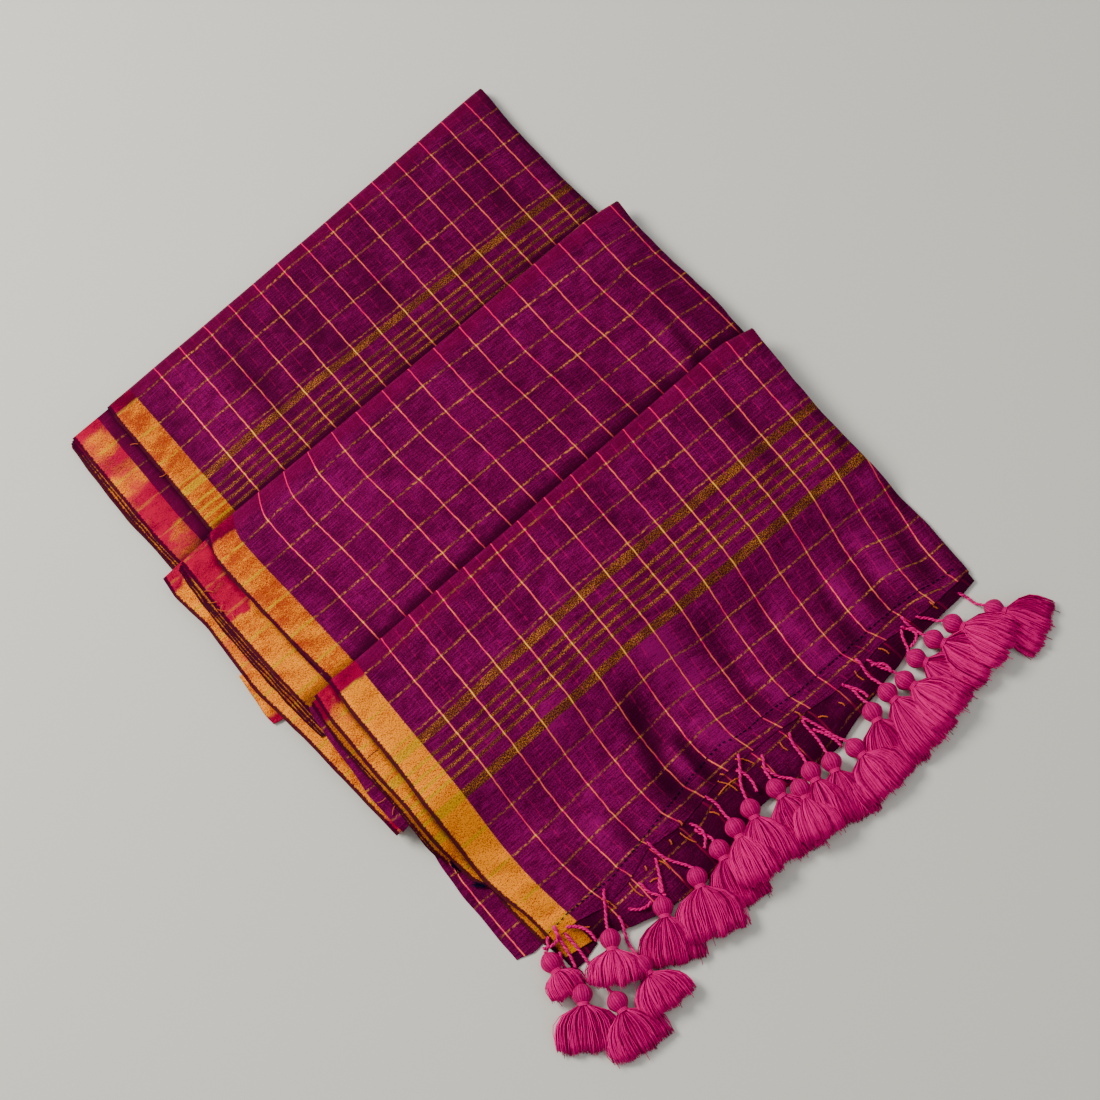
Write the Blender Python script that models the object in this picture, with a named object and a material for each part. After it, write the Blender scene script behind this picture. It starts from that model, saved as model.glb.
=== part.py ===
"""A handloom saree with a gold border, folded flat, and the tassels along its end.

The cloth is folded lengthwise to a quarter of its width and then back and forth along its
length. Three stretches show, each a little nearer than the one under it. The layout is written
in the cloth's own frame: u runs along the weft, v along the warp towards the far fold, and z is
up, all in millimetres. Each panel is a thin wall worked out from its edge tables.
"""
import math

import bmesh
import bpy
import numpy as np

MM = 0.001
WEFT_TURN = math.radians(41.5)        # the weft runs this far anticlockwise from +X
LAYOUT_CENTRE = (5.8, 3.4)            # u and v of the point that stands at the origin

GAP = 0.3                             # between pieces that lie on each other
UNDER_WALL = 1.0                      # the second and lower panels
TOP_WALL = 1.2                        # the top panel of each stretch
NOSE = 0.6                            # how far in an edge starts to round
NOSE_SHARE = 0.3                      # how much of the wall the rounding takes on each side

# How high the hidden layers stand under each stretch
PILE_BACK = 6.0
PILE_MIDDLE = 10.8
PILE_FRONT = 15.2
SECOND_PANEL = GAP + UNDER_WALL + GAP # from the pile to the underside of the top panel
PANELS_ON_PILE = SECOND_PANEL + TOP_WALL
TOP_BACK = PILE_BACK + PANELS_ON_PILE
TOP_MIDDLE = PILE_MIDDLE + PANELS_ON_PILE

# How each top panel turns down over its fold
BACK_RADIUS = 2.6
LAYER_RADIUS = 2.2
ARC_TURNS = (22.5, 45.0, 67.5, 90.0)
BACK_FOOT = 0.8                       # above the surface
SECOND_FOLD_INSET = 1.6               # the second panel ends this far inside the fold

# The front stretch comes down from its pile to the surface, over the end's lower layer
SLOPE_START = -66.0
SLOPE_LENGTH = 50.0
END_LAYER_TOP = 1.0
DROOP_START = -166.0
DROOP_LENGTH = 8.0
DROOP = 0.9
RIPPLE_START = -104.0
RIPPLE_LENGTH = 56.0

# Soft ripples that run into the hem: where each lies, its half width and its height
RIPPLES = (                           # u, half_width, height
    (-113.0, 13.0, 1.6),
    (-84.0, 14.0, 2.6),
    (-50.0, 15.0, 1.8),
    (-16.0, 17.0, 2.8),
    (26.0, 15.0, 1.9),
    (61.0, 15.0, 2.5),
    (98.0, 16.0, 2.9),
    (137.0, 14.0, 2.0),
)

# Left and right edges of the panels along the warp
BACK_EDGES = (                        # v, left, right
    (108.0, -139.5, 161.0),
    (133.0, -139.5, 161.0),
    (164.0, -135.6, 160.4),
    (205.0, -135.8, 160.8),
    (223.0, -135.5, 162.0),
    (250.0, -131.5, 164.5),
)
MIDDLE_EDGES = (                      # v, left, right
    (-5.0, -143.0, 170.0),
    (22.0, -143.8, 170.2),
    (51.0, -146.2, 171.9),
    (93.0, -147.6, 170.4),
    (119.5, -144.9, 170.8),
    (138.0, -140.3, 173.5),
)
FRONT_EDGES = (                       # v, left, right
    (-185.0, -145.0, 166.5),
    (-156.0, -145.9, 168.0),
    (-130.0, -151.2, 170.0),
    (-96.0, -151.6, 169.4),
    (-71.0, -151.6, 166.7),
    (-40.0, -148.9, 167.6),
    (-3.0, -147.8, 171.4),
    (25.0, -144.6, 174.6),
)
UNDER_BACK_EDGES = (                  # v, left, right
    (108.0, -162.6, 158.6),
    (151.0, -163.9, 158.4),
    (215.0, -162.0, 158.8),
    (250.0, -160.4, 161.5),
)
UNDER_MIDDLE_EDGES = (                # v, left, right
    (-5.0, -163.0, 167.6),
    (40.0, -164.8, 168.4),
    (84.0, -165.0, 168.0),
    (138.0, -162.0, 170.0),
)
UNDER_FRONT_EDGES = (                 # v, left, right
    (-190.0, -150.5, 165.5),
    (-160.0, -155.0, 166.5),
    (-120.0, -158.2, 167.8),
    (-72.0, -159.6, 164.8),
    (-16.0, -158.9, 168.4),
    (25.0, -155.6, 171.0),
)
LOWER_MIDDLE_EDGES = (                # v, left, right
    (-75.0, -171.6, -129.0),
    (-50.0, -172.9, -129.0),
    (4.0, -175.0, -129.0),
    (43.0, -178.3, -129.0),
    (91.0, -174.9, -129.0),
    (115.0, -177.4, -129.0),
    (130.0, -175.0, -129.0),
)
LOWER_FRONT_EDGES = (                 # v, left, right
    (-76.0, -172.0, -121.0),
    (-54.0, -170.6, -121.0),
    (-30.0, -167.0, -121.0),
    (16.0, -161.4, -121.0),
)
END_LOWER_EDGES = (                   # v, left, right
    (-168.0, -167.0, 158.0),
    (-116.0, -165.8, 160.0),
    (-95.0, -163.9, 160.0),
    (-78.0, -160.0, 160.0),
)
TONGUE_EDGES = (                      # v, left, right
    (22.0, -181.4, -173.9),
    (31.0, -181.8, -173.9),
    (45.0, -179.9, -173.9),
    (60.0, -178.4, -173.9),
)
TONGUE_HEIGHT = 0.8                   # above the surface

# Fold lines and end lines across the weft
BACK_FOLD = ((-162.0, 231.4), (-116.0, 233.2), (20.0, 240.5), (166.0, 249.8))
MIDDLE_FOLD = ((-178.0, 127.4), (-140.0, 131.2), (20.0, 134.4), (150.0, 138.0), (174.0, 135.6))
FRONT_FOLD = ((-160.0, 19.0), (-125.0, 18.2), (20.0, 21.6), (153.0, 24.9), (176.0, 20.3))
BACK_END = ((-170.0, 110.0), (176.0, 110.0))
MIDDLE_END = ((-170.0, -2.0), (176.0, -2.0))
TOP_HEM = (                           # u, v
    (-155.0, -167.0),
    (-129.0, -167.8),
    (-113.0, -172.6),
    (-93.0, -170.3),
    (-75.0, -163.8),
    (-52.0, -166.6),
    (-18.0, -161.2),
    (17.0, -162.0),
    (58.0, -167.0),
    (78.0, -167.6),
    (98.0, -164.4),
    (138.0, -167.2),
    (175.0, -166.2),
)
SECOND_HEM = (                        # u, v
    (-158.0, -170.5),
    (-129.0, -174.4),
    (-106.0, -181.6),
    (-70.0, -184.4),
    (-34.0, -178.4),
    (1.0, -175.1),
    (60.0, -177.3),
    (100.0, -172.4),
    (116.0, -169.0),
    (154.0, -171.2),
    (170.0, -169.4),
)
END_LOWER_HEM = ((-168.0, -161.6), (-156.0, -164.9), (-130.0, -162.0), (162.0, -160.0))
END_LOWER_START = ((-170.0, -78.6), (176.0, -78.6))
LOWER_MIDDLE_FOLD = ((-178.0, 127.4), (-158.0, 129.0), (-141.0, 127.6), (-128.0, 127.6))
LOWER_MIDDLE_END = ((-178.0, -71.4), (-166.0, -69.8), (-128.0, -66.0))
LOWER_FRONT_END = ((-172.0, -72.6), (-120.0, -64.0))
LOWER_FRONT_FOLD = ((-165.0, 14.4), (-120.0, 15.2))
TONGUE_END = ((-183.0, 24.4), (-176.0, 22.4))
TONGUE_START = ((-183.0, 58.0), (-176.0, 58.0))

# Slabs of hidden layers that are joined into one solid
SLAB_LAP = 0.1
SLABS = (                             # name, low, high, layers, far, near, left, right
    ("slab_back", 0.0, PILE_BACK, 5, BACK_FOLD, ((-180.0, -77.0), (180.0, -77.0)),
     ((-80.0, -173.6), (126.0, -173.6), (130.0, -166.6), (250.0, -165.0)),
     ((-80.0, 160.0), (60.0, 168.0), (126.0, 167.0), (134.0, 158.0), (250.0, 161.5))),
    ("slab_middle_low", PILE_BACK - SLAB_LAP, TOP_BACK + GAP, 3, ((-180.0, 107.6), (180.0, 107.6)),
     ((-180.0, -75.0), (180.0, -75.0)),
     ((-80.0, -171.0), (107.0, -173.0)),
     ((-80.0, 160.0), (107.0, 167.5))),
    ("slab_middle", TOP_BACK + GAP, PILE_MIDDLE, 1, MIDDLE_FOLD, ((-180.0, -73.0), (180.0, -73.0)),
     ((-80.0, -127.6), (140.0, -127.6)),
     ((-80.0, 161.0), (138.0, 168.6))),
    ("slab_front_low", PILE_MIDDLE - SLAB_LAP, TOP_MIDDLE + GAP, 3, ((-180.0, -4.4), (180.0, -4.4)),
     ((-180.0, -66.0), (180.0, -66.0)),
     ((-80.0, -163.4), (0.0, -163.4)),
     ((-80.0, 161.5), (0.0, 167.0))),
    ("slab_front", TOP_MIDDLE + GAP, PILE_FRONT, 1, FRONT_FOLD, ((-180.0, -64.0), (180.0, -64.0)),
     ((-80.0, -119.4), (25.0, -119.4)),
     ((-80.0, 161.5), (25.0, 168.6))),
)
GROOVE = 0.5                          # how deep the edge dips between two hidden layers
PILE_CORNER = 5.0                     # how far from a corner its rounding starts
CORNER_SHARE = 0.3                    # how much of the corner the rounding takes off
SIDE_STEPS = 5                        # points along each side of a slab
FOLD_CLEARANCE = 2.2                  # the pile ends this far inside the panels' fold

# Grid stations shared by the panels of one stretch
FRONT_ROWS = (-157.0, -148.0, -139.0, -130.0, -122.0, -114.0, -107.0, -100.0, -93.0, -86.0,
              -79.0, -72.0, -65.0, -50.0, -20.0)
BACK_ROWS = (125.0, 171.5, 218.0)
MIDDLE_ROWS = (15.0, 66.5, 118.0)
LOWER_MIDDLE_ROWS = (-60.0, -30.0, 4.0, 43.0, 91.0, 115.0)
LOWER_FRONT_ROWS = (-64.0, -30.0, 0.0)
END_ROWS = (-150.0, -116.0, -95.0)
TONGUE_ROWS = (31.0, 45.0)
FRONT_COLUMN_STEP = 13.5
FRONT_COLUMNS = (-136.0, 152.0)
FLAT_COLUMNS = (-115.0, -20.0, 75.0, 140.0)
LOWER_MIDDLE_COLUMNS = (-158.0, -140.0)
LOWER_FRONT_COLUMNS = (-150.0, -135.0)
END_COLUMNS = (-140.0, 0.0, 140.0)
TONGUE_COLUMNS = (-177.6,)

# Tassels, all lying on the surface or on each other
HEAD_SIDES = 10
CORD_SIDES = 5
CORD_RADIUS = 0.7
CORD_STEPS = 3
HEAD_RADIUS = 5.3
HEAD_HEIGHT = 5.8
HEAD_RINGS = (                        # along, width, height, as shares of the head's radius
    (-0.86, 0.56, 0.56),
    (-0.28, 1.0, 1.0),
    (0.36, 0.98, 0.98),
    (0.98, 0.47, 0.47),
    (1.18, 0.72, 0.52),
)
COLLAR_INNER = (1.24, 0.3, 0.16)
CORD_START = -1.06
LOCK_INSET = 0.22
LOCK_STATIONS = (                     # share of the length, of the spread, thickness
    (0.42, 0.56, 1.15),
    (1.0, 1.0, 1.0),
)
LOCK_FILL = 0.84                      # how much of its share of the fan a lock fills
LOCK_BOW = 0.08                       # how much shorter the outermost locks are
ROW_GAP = 0.35                        # between the upper and the lower row of locks
LEVELS = (0.4, 3.5, 6.6)              # where the skirts of each level lie
TASSELS = (                           # u, v, lean, length, spread, level, root_u
    (-153.3, -198.6, -33.7, 30.0, 11.0, 0, -146.0),
    (-122.7, -187.0, -33.1, 25.0, 9.0, 2, -120.0),
    (-142.0, -213.8, -11.1, 29.6, 11.0, 0, -134.0),
    (-119.4, -208.5, -7.9, 27.0, 10.0, 1, -111.0),
    (-90.2, -192.6, -30.0, 31.0, 11.5, 0, -86.0),
    (-65.8, -193.0, -23.9, 34.0, 12.0, 1, -61.0),
    (-46.7, -189.9, -14.9, 33.2, 9.0, 0, -44.0),
    (-158.5, -178.6, -31.2, 20.0, 5.0, 1, -152.2),
    (-32.3, -186.8, -15.6, 33.0, 6.5, 2, -31.0),
    (-18.9, -184.6, -18.0, 34.0, 9.5, 1, -17.0),
    (-0.9, -185.6, -7.1, 38.0, 10.0, 0, -2.0),
    (8.8, -194.4, -18.0, 30.0, 7.0, 2, 10.0),
    (19.9, -191.4, -16.8, 34.0, 7.0, 1, 21.0),
    (32.0, -195.0, -22.0, 34.0, 11.0, 0, 31.0),
    (47.1, -197.6, -0.4, 31.1, 11.0, 1, 44.0),
    (68.4, -189.4, -15.8, 37.0, 11.0, 0, 69.0),
    (82.4, -186.9, -0.8, 39.0, 11.0, 1, 82.0),
    (94.4, -188.2, 12.0, 34.0, 9.0, 2, 92.0),
    (107.9, -183.4, 23.7, 36.2, 10.0, 0, 105.0),
    (123.0, -182.0, 22.8, 35.7, 10.0, 1, 120.0),
    (137.5, -182.4, 23.8, 34.3, 9.0, 2, 134.0),
    (160.7, -191.6, 26.5, 32.2, 11.0, 0, 152.0),
)
CORD_ROOT_HEIGHT = 0.5                # above the underside of the cloth that a cord leaves
CORD_CLEARANCE = 0.7                  # from the hem to the middle of a cord's end

CLOTH_ROUGHNESS = 0.62
COLOURS = {
    "body": (0.17, 0.002, 0.085, 1.0),
    "border": (0.62, 0.25, 0.04, 1.0),
    "pile": (0.12, 0.002, 0.06, 1.0),
    "tassel": (0.78, 0.002, 0.19, 1.0),
}


def table(rows, x, value=1):
    """Reads one column of a table between its rows, with the first column as x."""
    listed = np.array(rows, float)
    order = np.argsort(listed[:, 0])
    return np.interp(x, listed[order, 0], listed[order, value])


def ease(x):
    """A smooth step from 0 to 1."""
    x = np.clip(x, 0.0, 1.0)
    return x * x * (3.0 - 2.0 * x)


def front_support(u, v):
    """How high the front stretch's second panel lies: the pile, the slope, the end, the ripples."""
    slope = ease((SLOPE_START - v) / SLOPE_LENGTH)
    height = PILE_FRONT + (END_LAYER_TOP - PILE_FRONT) * slope
    height = height - DROOP * ease((DROOP_START - v) / DROOP_LENGTH)
    near_hem = ease((RIPPLE_START - v) / RIPPLE_LENGTH)
    for centre, half_width, lift in RIPPLES:
        height = height + lift * near_hem * np.exp(-((u - centre) / half_width) ** 2)
    return height


def material(name):
    """The plain finish of one kind of piece."""
    found = bpy.data.materials.get(name) or bpy.data.materials.new(name)
    found.use_nodes = True
    shader = found.node_tree.nodes["Principled BSDF"]
    shader.inputs["Base Color"].default_value = COLOURS[name]
    shader.inputs["Roughness"].default_value = CLOTH_ROUGHNESS
    shader.inputs["Metallic"].default_value = 0.0
    return found


def to_world(points):
    """Turns layout points in millimetres into the part's own frame in metres."""
    points = np.asarray(points, float).reshape(-1, 3)
    u = points[:, 0] - LAYOUT_CENTRE[0]
    v = points[:, 1] - LAYOUT_CENTRE[1]
    cos, sin = math.cos(WEFT_TURN), math.sin(WEFT_TURN)
    return np.c_[u * cos - v * sin, u * sin + v * cos, points[:, 2]] * MM


def add_object(name, points, faces, finish):
    """Makes one closed object, with its faces turned outwards."""
    mesh = bpy.data.meshes.new(name)
    mesh.from_pydata(to_world(points).tolist(), [], faces)
    work = bmesh.new()
    work.from_mesh(mesh)
    bmesh.ops.recalc_face_normals(work, faces=work.faces)
    work.to_mesh(mesh)
    work.free()
    mesh.shade_smooth()
    mesh.set_sharp_from_angle(angle=math.radians(40.0))
    mesh.materials.append(material(finish))
    made = bpy.data.objects.new(name, mesh)
    bpy.context.scene.collection.objects.link(made)
    return made


def closed_wall(name, outer, inner, finish):
    """Joins an outer and an inner grid of points into one closed wall."""
    rows, columns = outer.shape[:2]
    index = np.arange(rows * columns).reshape(rows, columns)
    under = index + rows * columns
    a, b, c, d = index[:-1, :-1], index[:-1, 1:], index[1:, 1:], index[1:, :-1]
    shift = rows * columns
    faces = [*zip(a.flat, b.flat, c.flat), *zip(a.flat, c.flat, d.flat)]
    faces += [tuple(i + shift for i in reversed(face)) for face in faces]
    rim = np.r_[index[0, :-1], index[:-1, -1], index[-1, :0:-1], index[:0:-1, 0]]
    low = np.r_[under[0, :-1], under[:-1, -1], under[-1, :0:-1], under[:0:-1, 0]]
    faces += [*zip(rim, low, np.roll(low, -1), np.roll(rim, -1))]
    faces = [tuple(int(i) for i in face) for face in faces]
    points = np.concatenate([outer.reshape(-1, 3), inner.reshape(-1, 3)])
    return add_object(name, points, faces, finish)


def plan_grid(edges, end, fold, rows, columns, fold_inset):
    """u and v of a panel's grid: fixed stations inside, and the edge tables round them."""
    row = np.array([0.0, *rows, 0.0, 0.0])
    column = np.array([0.0, 0.0, *columns, 0.0, 0.0])
    v = np.repeat(row[:, None], len(column), axis=1)
    u = np.repeat(column[None, :], len(row), axis=0)
    v = np.insert(v, 1, v[0], axis=0)
    u = np.insert(u, 1, u[0], axis=0)
    middle = 0.5 * (columns[0] + columns[-1])
    v[:2], v[-2:] = table(end, middle), table(fold, middle)
    for _ in range(3):
        left, right = table(edges, v, 1), table(edges, v, 2)
        u[:, 0], u[:, 1] = left[:, 0], left[:, 1] + NOSE
        u[:, -1], u[:, -2] = right[:, -1], right[:, -2] - NOSE
        v[0] = table(end, u[0])
        v[1] = v[0] + NOSE
        v[-1] = table(fold, u[-1]) - fold_inset
        v[-2] = v[-1] - NOSE
    return u, v


def rounded(outer, inner, wall, hooked):
    """Draws a wall's two faces together along its free edges."""
    nose = NOSE_SHARE * wall
    for part in (np.s_[0, :], np.s_[1:, 0], np.s_[1:, -1]):
        outer[part][..., 2] -= nose
        inner[part][..., 2] += nose
    if not hooked:
        outer[-1, 1:-1, 2] -= nose
        inner[-1, 1:-1, 2] += nose


def flat_panel(name, edges, end, fold, rows, columns, under, wall, finish, inset=0.0):
    """A panel that ends at the fold line. under(u, v) is the height of its lower face."""
    u, v = plan_grid(edges, end, fold, rows, columns, inset)
    low = under(u, v)
    inner = np.stack([u, v, low], axis=-1)
    outer = np.stack([u, v, low + wall], axis=-1)
    rounded(outer, inner, wall, False)
    return closed_wall(name, outer, inner, finish)


def folded_panel(name, edges, end, fold, rows, columns, under, radius, foot, finish):
    """A panel that turns down over its fold: a quarter arc and then straight to its foot."""
    wall = TOP_WALL
    u, v = plan_grid(edges, end, fold, rows, columns, radius)
    low = under(u, v)
    inner = np.stack([u, v, low], axis=-1)
    outer = np.stack([u, v, low + wall], axis=-1)
    crest, base = outer[-1].copy(), v[-1].copy()
    for turn in np.radians(ARC_TURNS):
        for grid, r in ((outer, radius), (inner, radius - wall)):
            ring = crest.copy()
            ring[:, 1] = base + r * math.sin(turn)
            ring[:, 2] = crest[:, 2] - radius + r * math.cos(turn)
            if grid is outer:
                outer = np.concatenate([outer, ring[None]])
            else:
                inner = np.concatenate([inner, ring[None]])
    nose = NOSE_SHARE * wall
    for drop, side in ((foot + NOSE, 0.0), (foot, nose)):
        tail = outer[-1].copy()
        tail[:, 1] = base + radius - side
        tail[:, 2] = drop
        lining = tail.copy()
        lining[:, 1] = base + radius - wall + side
        outer = np.concatenate([outer, tail[None]])
        inner = np.concatenate([inner, lining[None]])
    flat_rows = len(v)
    outer_flat, inner_flat = outer[:flat_rows], inner[:flat_rows]
    rounded(outer_flat, inner_flat, wall, True)
    return closed_wall(name, outer, inner, finish)


def side_points(rows, low, high, value_first):
    """Points of one side of a pile between low and high, as (u, v) pairs."""
    at = np.linspace(low, high, SIDE_STEPS)
    other = table(rows, at)
    return np.c_[at, other] if value_first else np.c_[other, at]


def pile_outline(far, near, left, right):
    """A slab's outline in plan, anticlockwise, with a rounded corner at each end of a side."""
    low, high = near[0][1], table(far, 0.0)
    corners = []
    for side, fold in ((left, near), (right, near), (right, far), (left, far)):
        v = low if fold is near else high - FOLD_CLEARANCE
        for _ in range(3):
            u = float(table(side, v))
            v = float(table(fold, u)) - (0.0 if fold is near else FOLD_CLEARANCE)
        corners.append((u, v))
    (u0, v0), (u1, v1), (u2, v2), (u3, v3) = corners
    c = PILE_CORNER
    sides = (
        side_points(near, u0 + c, u1 - c, True),
        side_points(right, v1 + c, v2 - c, False),
        side_points(far, u2 - c, u3 + c, True) - np.array([0.0, FOLD_CLEARANCE]),
        side_points(left, v3 - c, v0 + c, False),
    )
    points = []
    for number, side in enumerate(sides):
        points.extend(side.tolist())
        corner = np.array(corners[(number + 1) % 4])
        chord = 0.5 * (side[-1] + sides[(number + 1) % 4][0])
        points.append((corner + CORNER_SHARE * (chord - corner)).tolist())
    return np.array(points)


def inset_outline(points, depth):
    """Moves a closed outline inwards by depth."""
    along = np.roll(points, -1, axis=0) - np.roll(points, 1, axis=0)
    along /= np.linalg.norm(along, axis=1)[:, None]
    return points + depth * np.c_[-along[:, 1], along[:, 0]]


def layered_slab(name, low, high, layers, outline):
    """A slab whose edge swells out once for each of its layers."""
    rings = []
    for step in range(2 * layers + 1):
        depth = 0.0 if step % 2 else GROOVE
        z = low + (high - low) * step / (2 * layers)
        ring = inset_outline(outline, depth)
        rings.append(np.c_[ring, np.full(len(ring), z)])
    count = len(outline)
    faces = [tuple(range(count))[::-1], tuple(range((len(rings) - 1) * count, len(rings) * count))]
    for level in range(len(rings) - 1):
        for i in range(count):
            j = (i + 1) % count
            a = level * count
            faces.append((a + i, a + j, a + count + j, a + count + i))
    return add_object(name, np.concatenate(rings), faces, "pile")


def hidden_layers():
    """All the layers that nothing shows of but their edges, joined into one solid."""
    parts = []
    for name, low, high, layers, far, near, left, right in SLABS:
        outline = pile_outline(far, near, left, right)
        parts.append(layered_slab(name, low, high, layers, outline))
    solid = parts[0]
    solid.name = "hidden_layers"
    for part in parts[1:]:
        part.hide_render = True
        part.display_type = "WIRE"
        union = solid.modifiers.new(part.name, "BOOLEAN")
        union.operation = "UNION"
        union.solver = "EXACT"
        union.object = part


def stretches():
    """The three stretches that show: the top panel, the second panel and the lower ones."""
    span = np.arange(FRONT_COLUMNS[0], FRONT_COLUMNS[1] + 1.0, FRONT_COLUMN_STEP)

    def level(height):
        return lambda u, v: np.full(u.shape, float(height))

    def on_second(u, v):
        return front_support(u, v) + SECOND_PANEL

    def on_support(u, v):
        return front_support(u, v) + GAP

    folded_panel("stretch_back", BACK_EDGES, BACK_END, BACK_FOLD, BACK_ROWS, FLAT_COLUMNS,
                 level(PILE_BACK + SECOND_PANEL), BACK_RADIUS, BACK_FOOT, "body")
    flat_panel("under_back", UNDER_BACK_EDGES, BACK_END, BACK_FOLD, BACK_ROWS, FLAT_COLUMNS,
               level(PILE_BACK + GAP), UNDER_WALL, "border", SECOND_FOLD_INSET)
    folded_panel("stretch_middle", MIDDLE_EDGES, MIDDLE_END, MIDDLE_FOLD, MIDDLE_ROWS,
                 FLAT_COLUMNS, level(PILE_MIDDLE + SECOND_PANEL), LAYER_RADIUS,
                 TOP_BACK + GAP, "body")
    flat_panel("under_middle", UNDER_MIDDLE_EDGES, MIDDLE_END, MIDDLE_FOLD, MIDDLE_ROWS,
               FLAT_COLUMNS, level(PILE_MIDDLE + GAP), UNDER_WALL, "border", SECOND_FOLD_INSET)
    folded_panel("stretch_front", FRONT_EDGES, TOP_HEM, FRONT_FOLD, FRONT_ROWS, span,
                 on_second, LAYER_RADIUS, TOP_MIDDLE + GAP, "body")
    flat_panel("under_front", UNDER_FRONT_EDGES, SECOND_HEM, FRONT_FOLD, FRONT_ROWS, span,
               on_support, UNDER_WALL, "border", SECOND_FOLD_INSET)
    flat_panel("lower_middle", LOWER_MIDDLE_EDGES, LOWER_MIDDLE_END, LOWER_MIDDLE_FOLD,
               LOWER_MIDDLE_ROWS, LOWER_MIDDLE_COLUMNS, level(TOP_BACK + 2.0 * GAP),
               UNDER_WALL, "border")
    flat_panel("lower_front", LOWER_FRONT_EDGES, LOWER_FRONT_END, LOWER_FRONT_FOLD,
               LOWER_FRONT_ROWS, LOWER_FRONT_COLUMNS,
               lambda u, v: front_support(u, v) - UNDER_WALL, UNDER_WALL, "body")
    flat_panel("end_lower", END_LOWER_EDGES, END_LOWER_HEM, END_LOWER_START,
               END_ROWS, END_COLUMNS, level(0.0), END_LAYER_TOP, "body")
    flat_panel("end_tongue", TONGUE_EDGES, TONGUE_END, TONGUE_START,
               TONGUE_ROWS, TONGUE_COLUMNS, level(TONGUE_HEIGHT), UNDER_WALL, "border")


def cord_rings(start, root, side):
    """Five-sided rings from the head's top to the hem."""
    rings = []
    path = [start + (root - start) * step / CORD_STEPS for step in range(CORD_STEPS + 1)]
    for point in path:
        turns = 2.0 * math.pi * np.arange(CORD_SIDES) / CORD_SIDES + math.pi / HEAD_SIDES
        ring = point + CORD_RADIUS * (
            np.outer(np.cos(turns), side) + np.outer(np.sin(turns), (0.0, 0.0, 1.0))
        )
        rings.append(ring)
    return rings


def tassel(name, u, v, lean, length, spread, level, root_u):
    """One tassel: its cord, its round head, its collar and ten locks that stand apart."""
    turn = math.radians(lean)
    forward = np.array([math.sin(turn), -math.cos(turn), 0.0])
    side = np.array([math.cos(turn), math.sin(turn), 0.0])
    up = np.array([0.0, 0.0, 1.0])
    head = np.array([u, v, HEAD_HEIGHT])
    points, faces = [], []

    def ring_at(along, width, height):
        turns = 2.0 * math.pi * np.arange(HEAD_SIDES) / HEAD_SIDES
        centre = head + forward * along * HEAD_RADIUS
        return centre + HEAD_RADIUS * (
            np.outer(np.cos(turns) * width, side) + np.outer(np.sin(turns) * height, up)
        )

    def add(ring):
        first = len(points)
        points.extend(ring)
        return list(range(first, first + len(ring)))

    def bridge(first, second):
        for i in range(len(first)):
            j = (i + 1) % len(first)
            faces.append((first[i], first[j], second[j], second[i]))

    start = head + forward * CORD_START * HEAD_RADIUS
    root_v = float(table(SECOND_HEM, root_u)) - CORD_CLEARANCE
    root_z = float(front_support(root_u, root_v)) + GAP + CORD_ROOT_HEIGHT
    root = np.array([root_u, root_v, root_z])
    cord = [add(ring) for ring in cord_rings(start, root, side)]
    rings = [add(ring_at(*row)) for row in HEAD_RINGS]
    for first, second in zip(cord, cord[1:]):
        bridge(first, second)
    faces.append(tuple(cord[-1]))
    top = rings[0]
    for k in range(CORD_SIDES):
        a, b, c = top[2 * k], top[2 * k + 1], top[(2 * k + 2) % HEAD_SIDES]
        faces.append((a, b, cord[0][k]))
        faces.append((b, c, cord[0][(k + 1) % CORD_SIDES], cord[0][k]))
    for first, second in zip(rings, rings[1:]):
        bridge(first, second)
    collar, inner = rings[-1], add(ring_at(*COLLAR_INNER))
    faces.append(tuple(inner))

    tip_low = LEVELS[level]
    half = HEAD_SIDES // 2
    start_along = COLLAR_INNER[0] * HEAD_RADIUS
    for k in range(HEAD_SIDES):
        j = (k + 1) % HEAD_SIDES
        cell = [collar[k], collar[j], inner[j], inner[k]]
        corners = np.array([points[i] for i in cell])
        root_ring = add(corners + LOCK_INSET * (corners.mean(axis=0) - corners))
        bridge(cell, root_ring)
        upper = k < half
        place = (half - 1) / 2.0 - (k if upper else HEAD_SIDES - 1 - k)
        last = root_ring
        for share, width_share, thick in LOCK_STATIONS:
            reach = start_along + (length - start_along) * share
            fan = 2.0 * spread * width_share
            across = place * fan / half
            half_width = 0.5 * LOCK_FILL * fan / half
            low = tip_low + (thick + ROW_GAP if upper else 0.0)
            bow = 1.0 - LOCK_BOW * (place / 2.0) ** 2
            centre = np.array([u, v, 0.0]) + forward * reach * bow + side * across
            outer_z, inner_z = (low + thick, low) if upper else (low, low + thick)
            first_side = half_width if upper else -half_width
            ring = add(np.array([
                centre + side * first_side + up * outer_z,
                centre - side * first_side + up * outer_z,
                centre - side * first_side + up * inner_z,
                centre + side * first_side + up * inner_z,
            ]))
            bridge(last, ring)
            last = ring
        faces.append(tuple(last))
    add_object(name, np.array(points), faces, "tassel")


def build():
    """Clears the scene and makes every piece."""
    for old in list(bpy.data.objects):
        bpy.data.objects.remove(old, do_unlink=True)
    hidden_layers()
    stretches()
    for number, row in enumerate(TASSELS, start=1):
        tassel(f"tassel_{number:02d}", *row)


build()
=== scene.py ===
"""The folded saree as it looks: fine woven cloth, gold thread, stitched hem and tassels.

Lengths inside the layout are millimetres in the cloth's own frame: u runs along the weft, v along
the warp towards the far fold, z is up. to_world turns them into the part's frame in metres.
"""
import math

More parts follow.
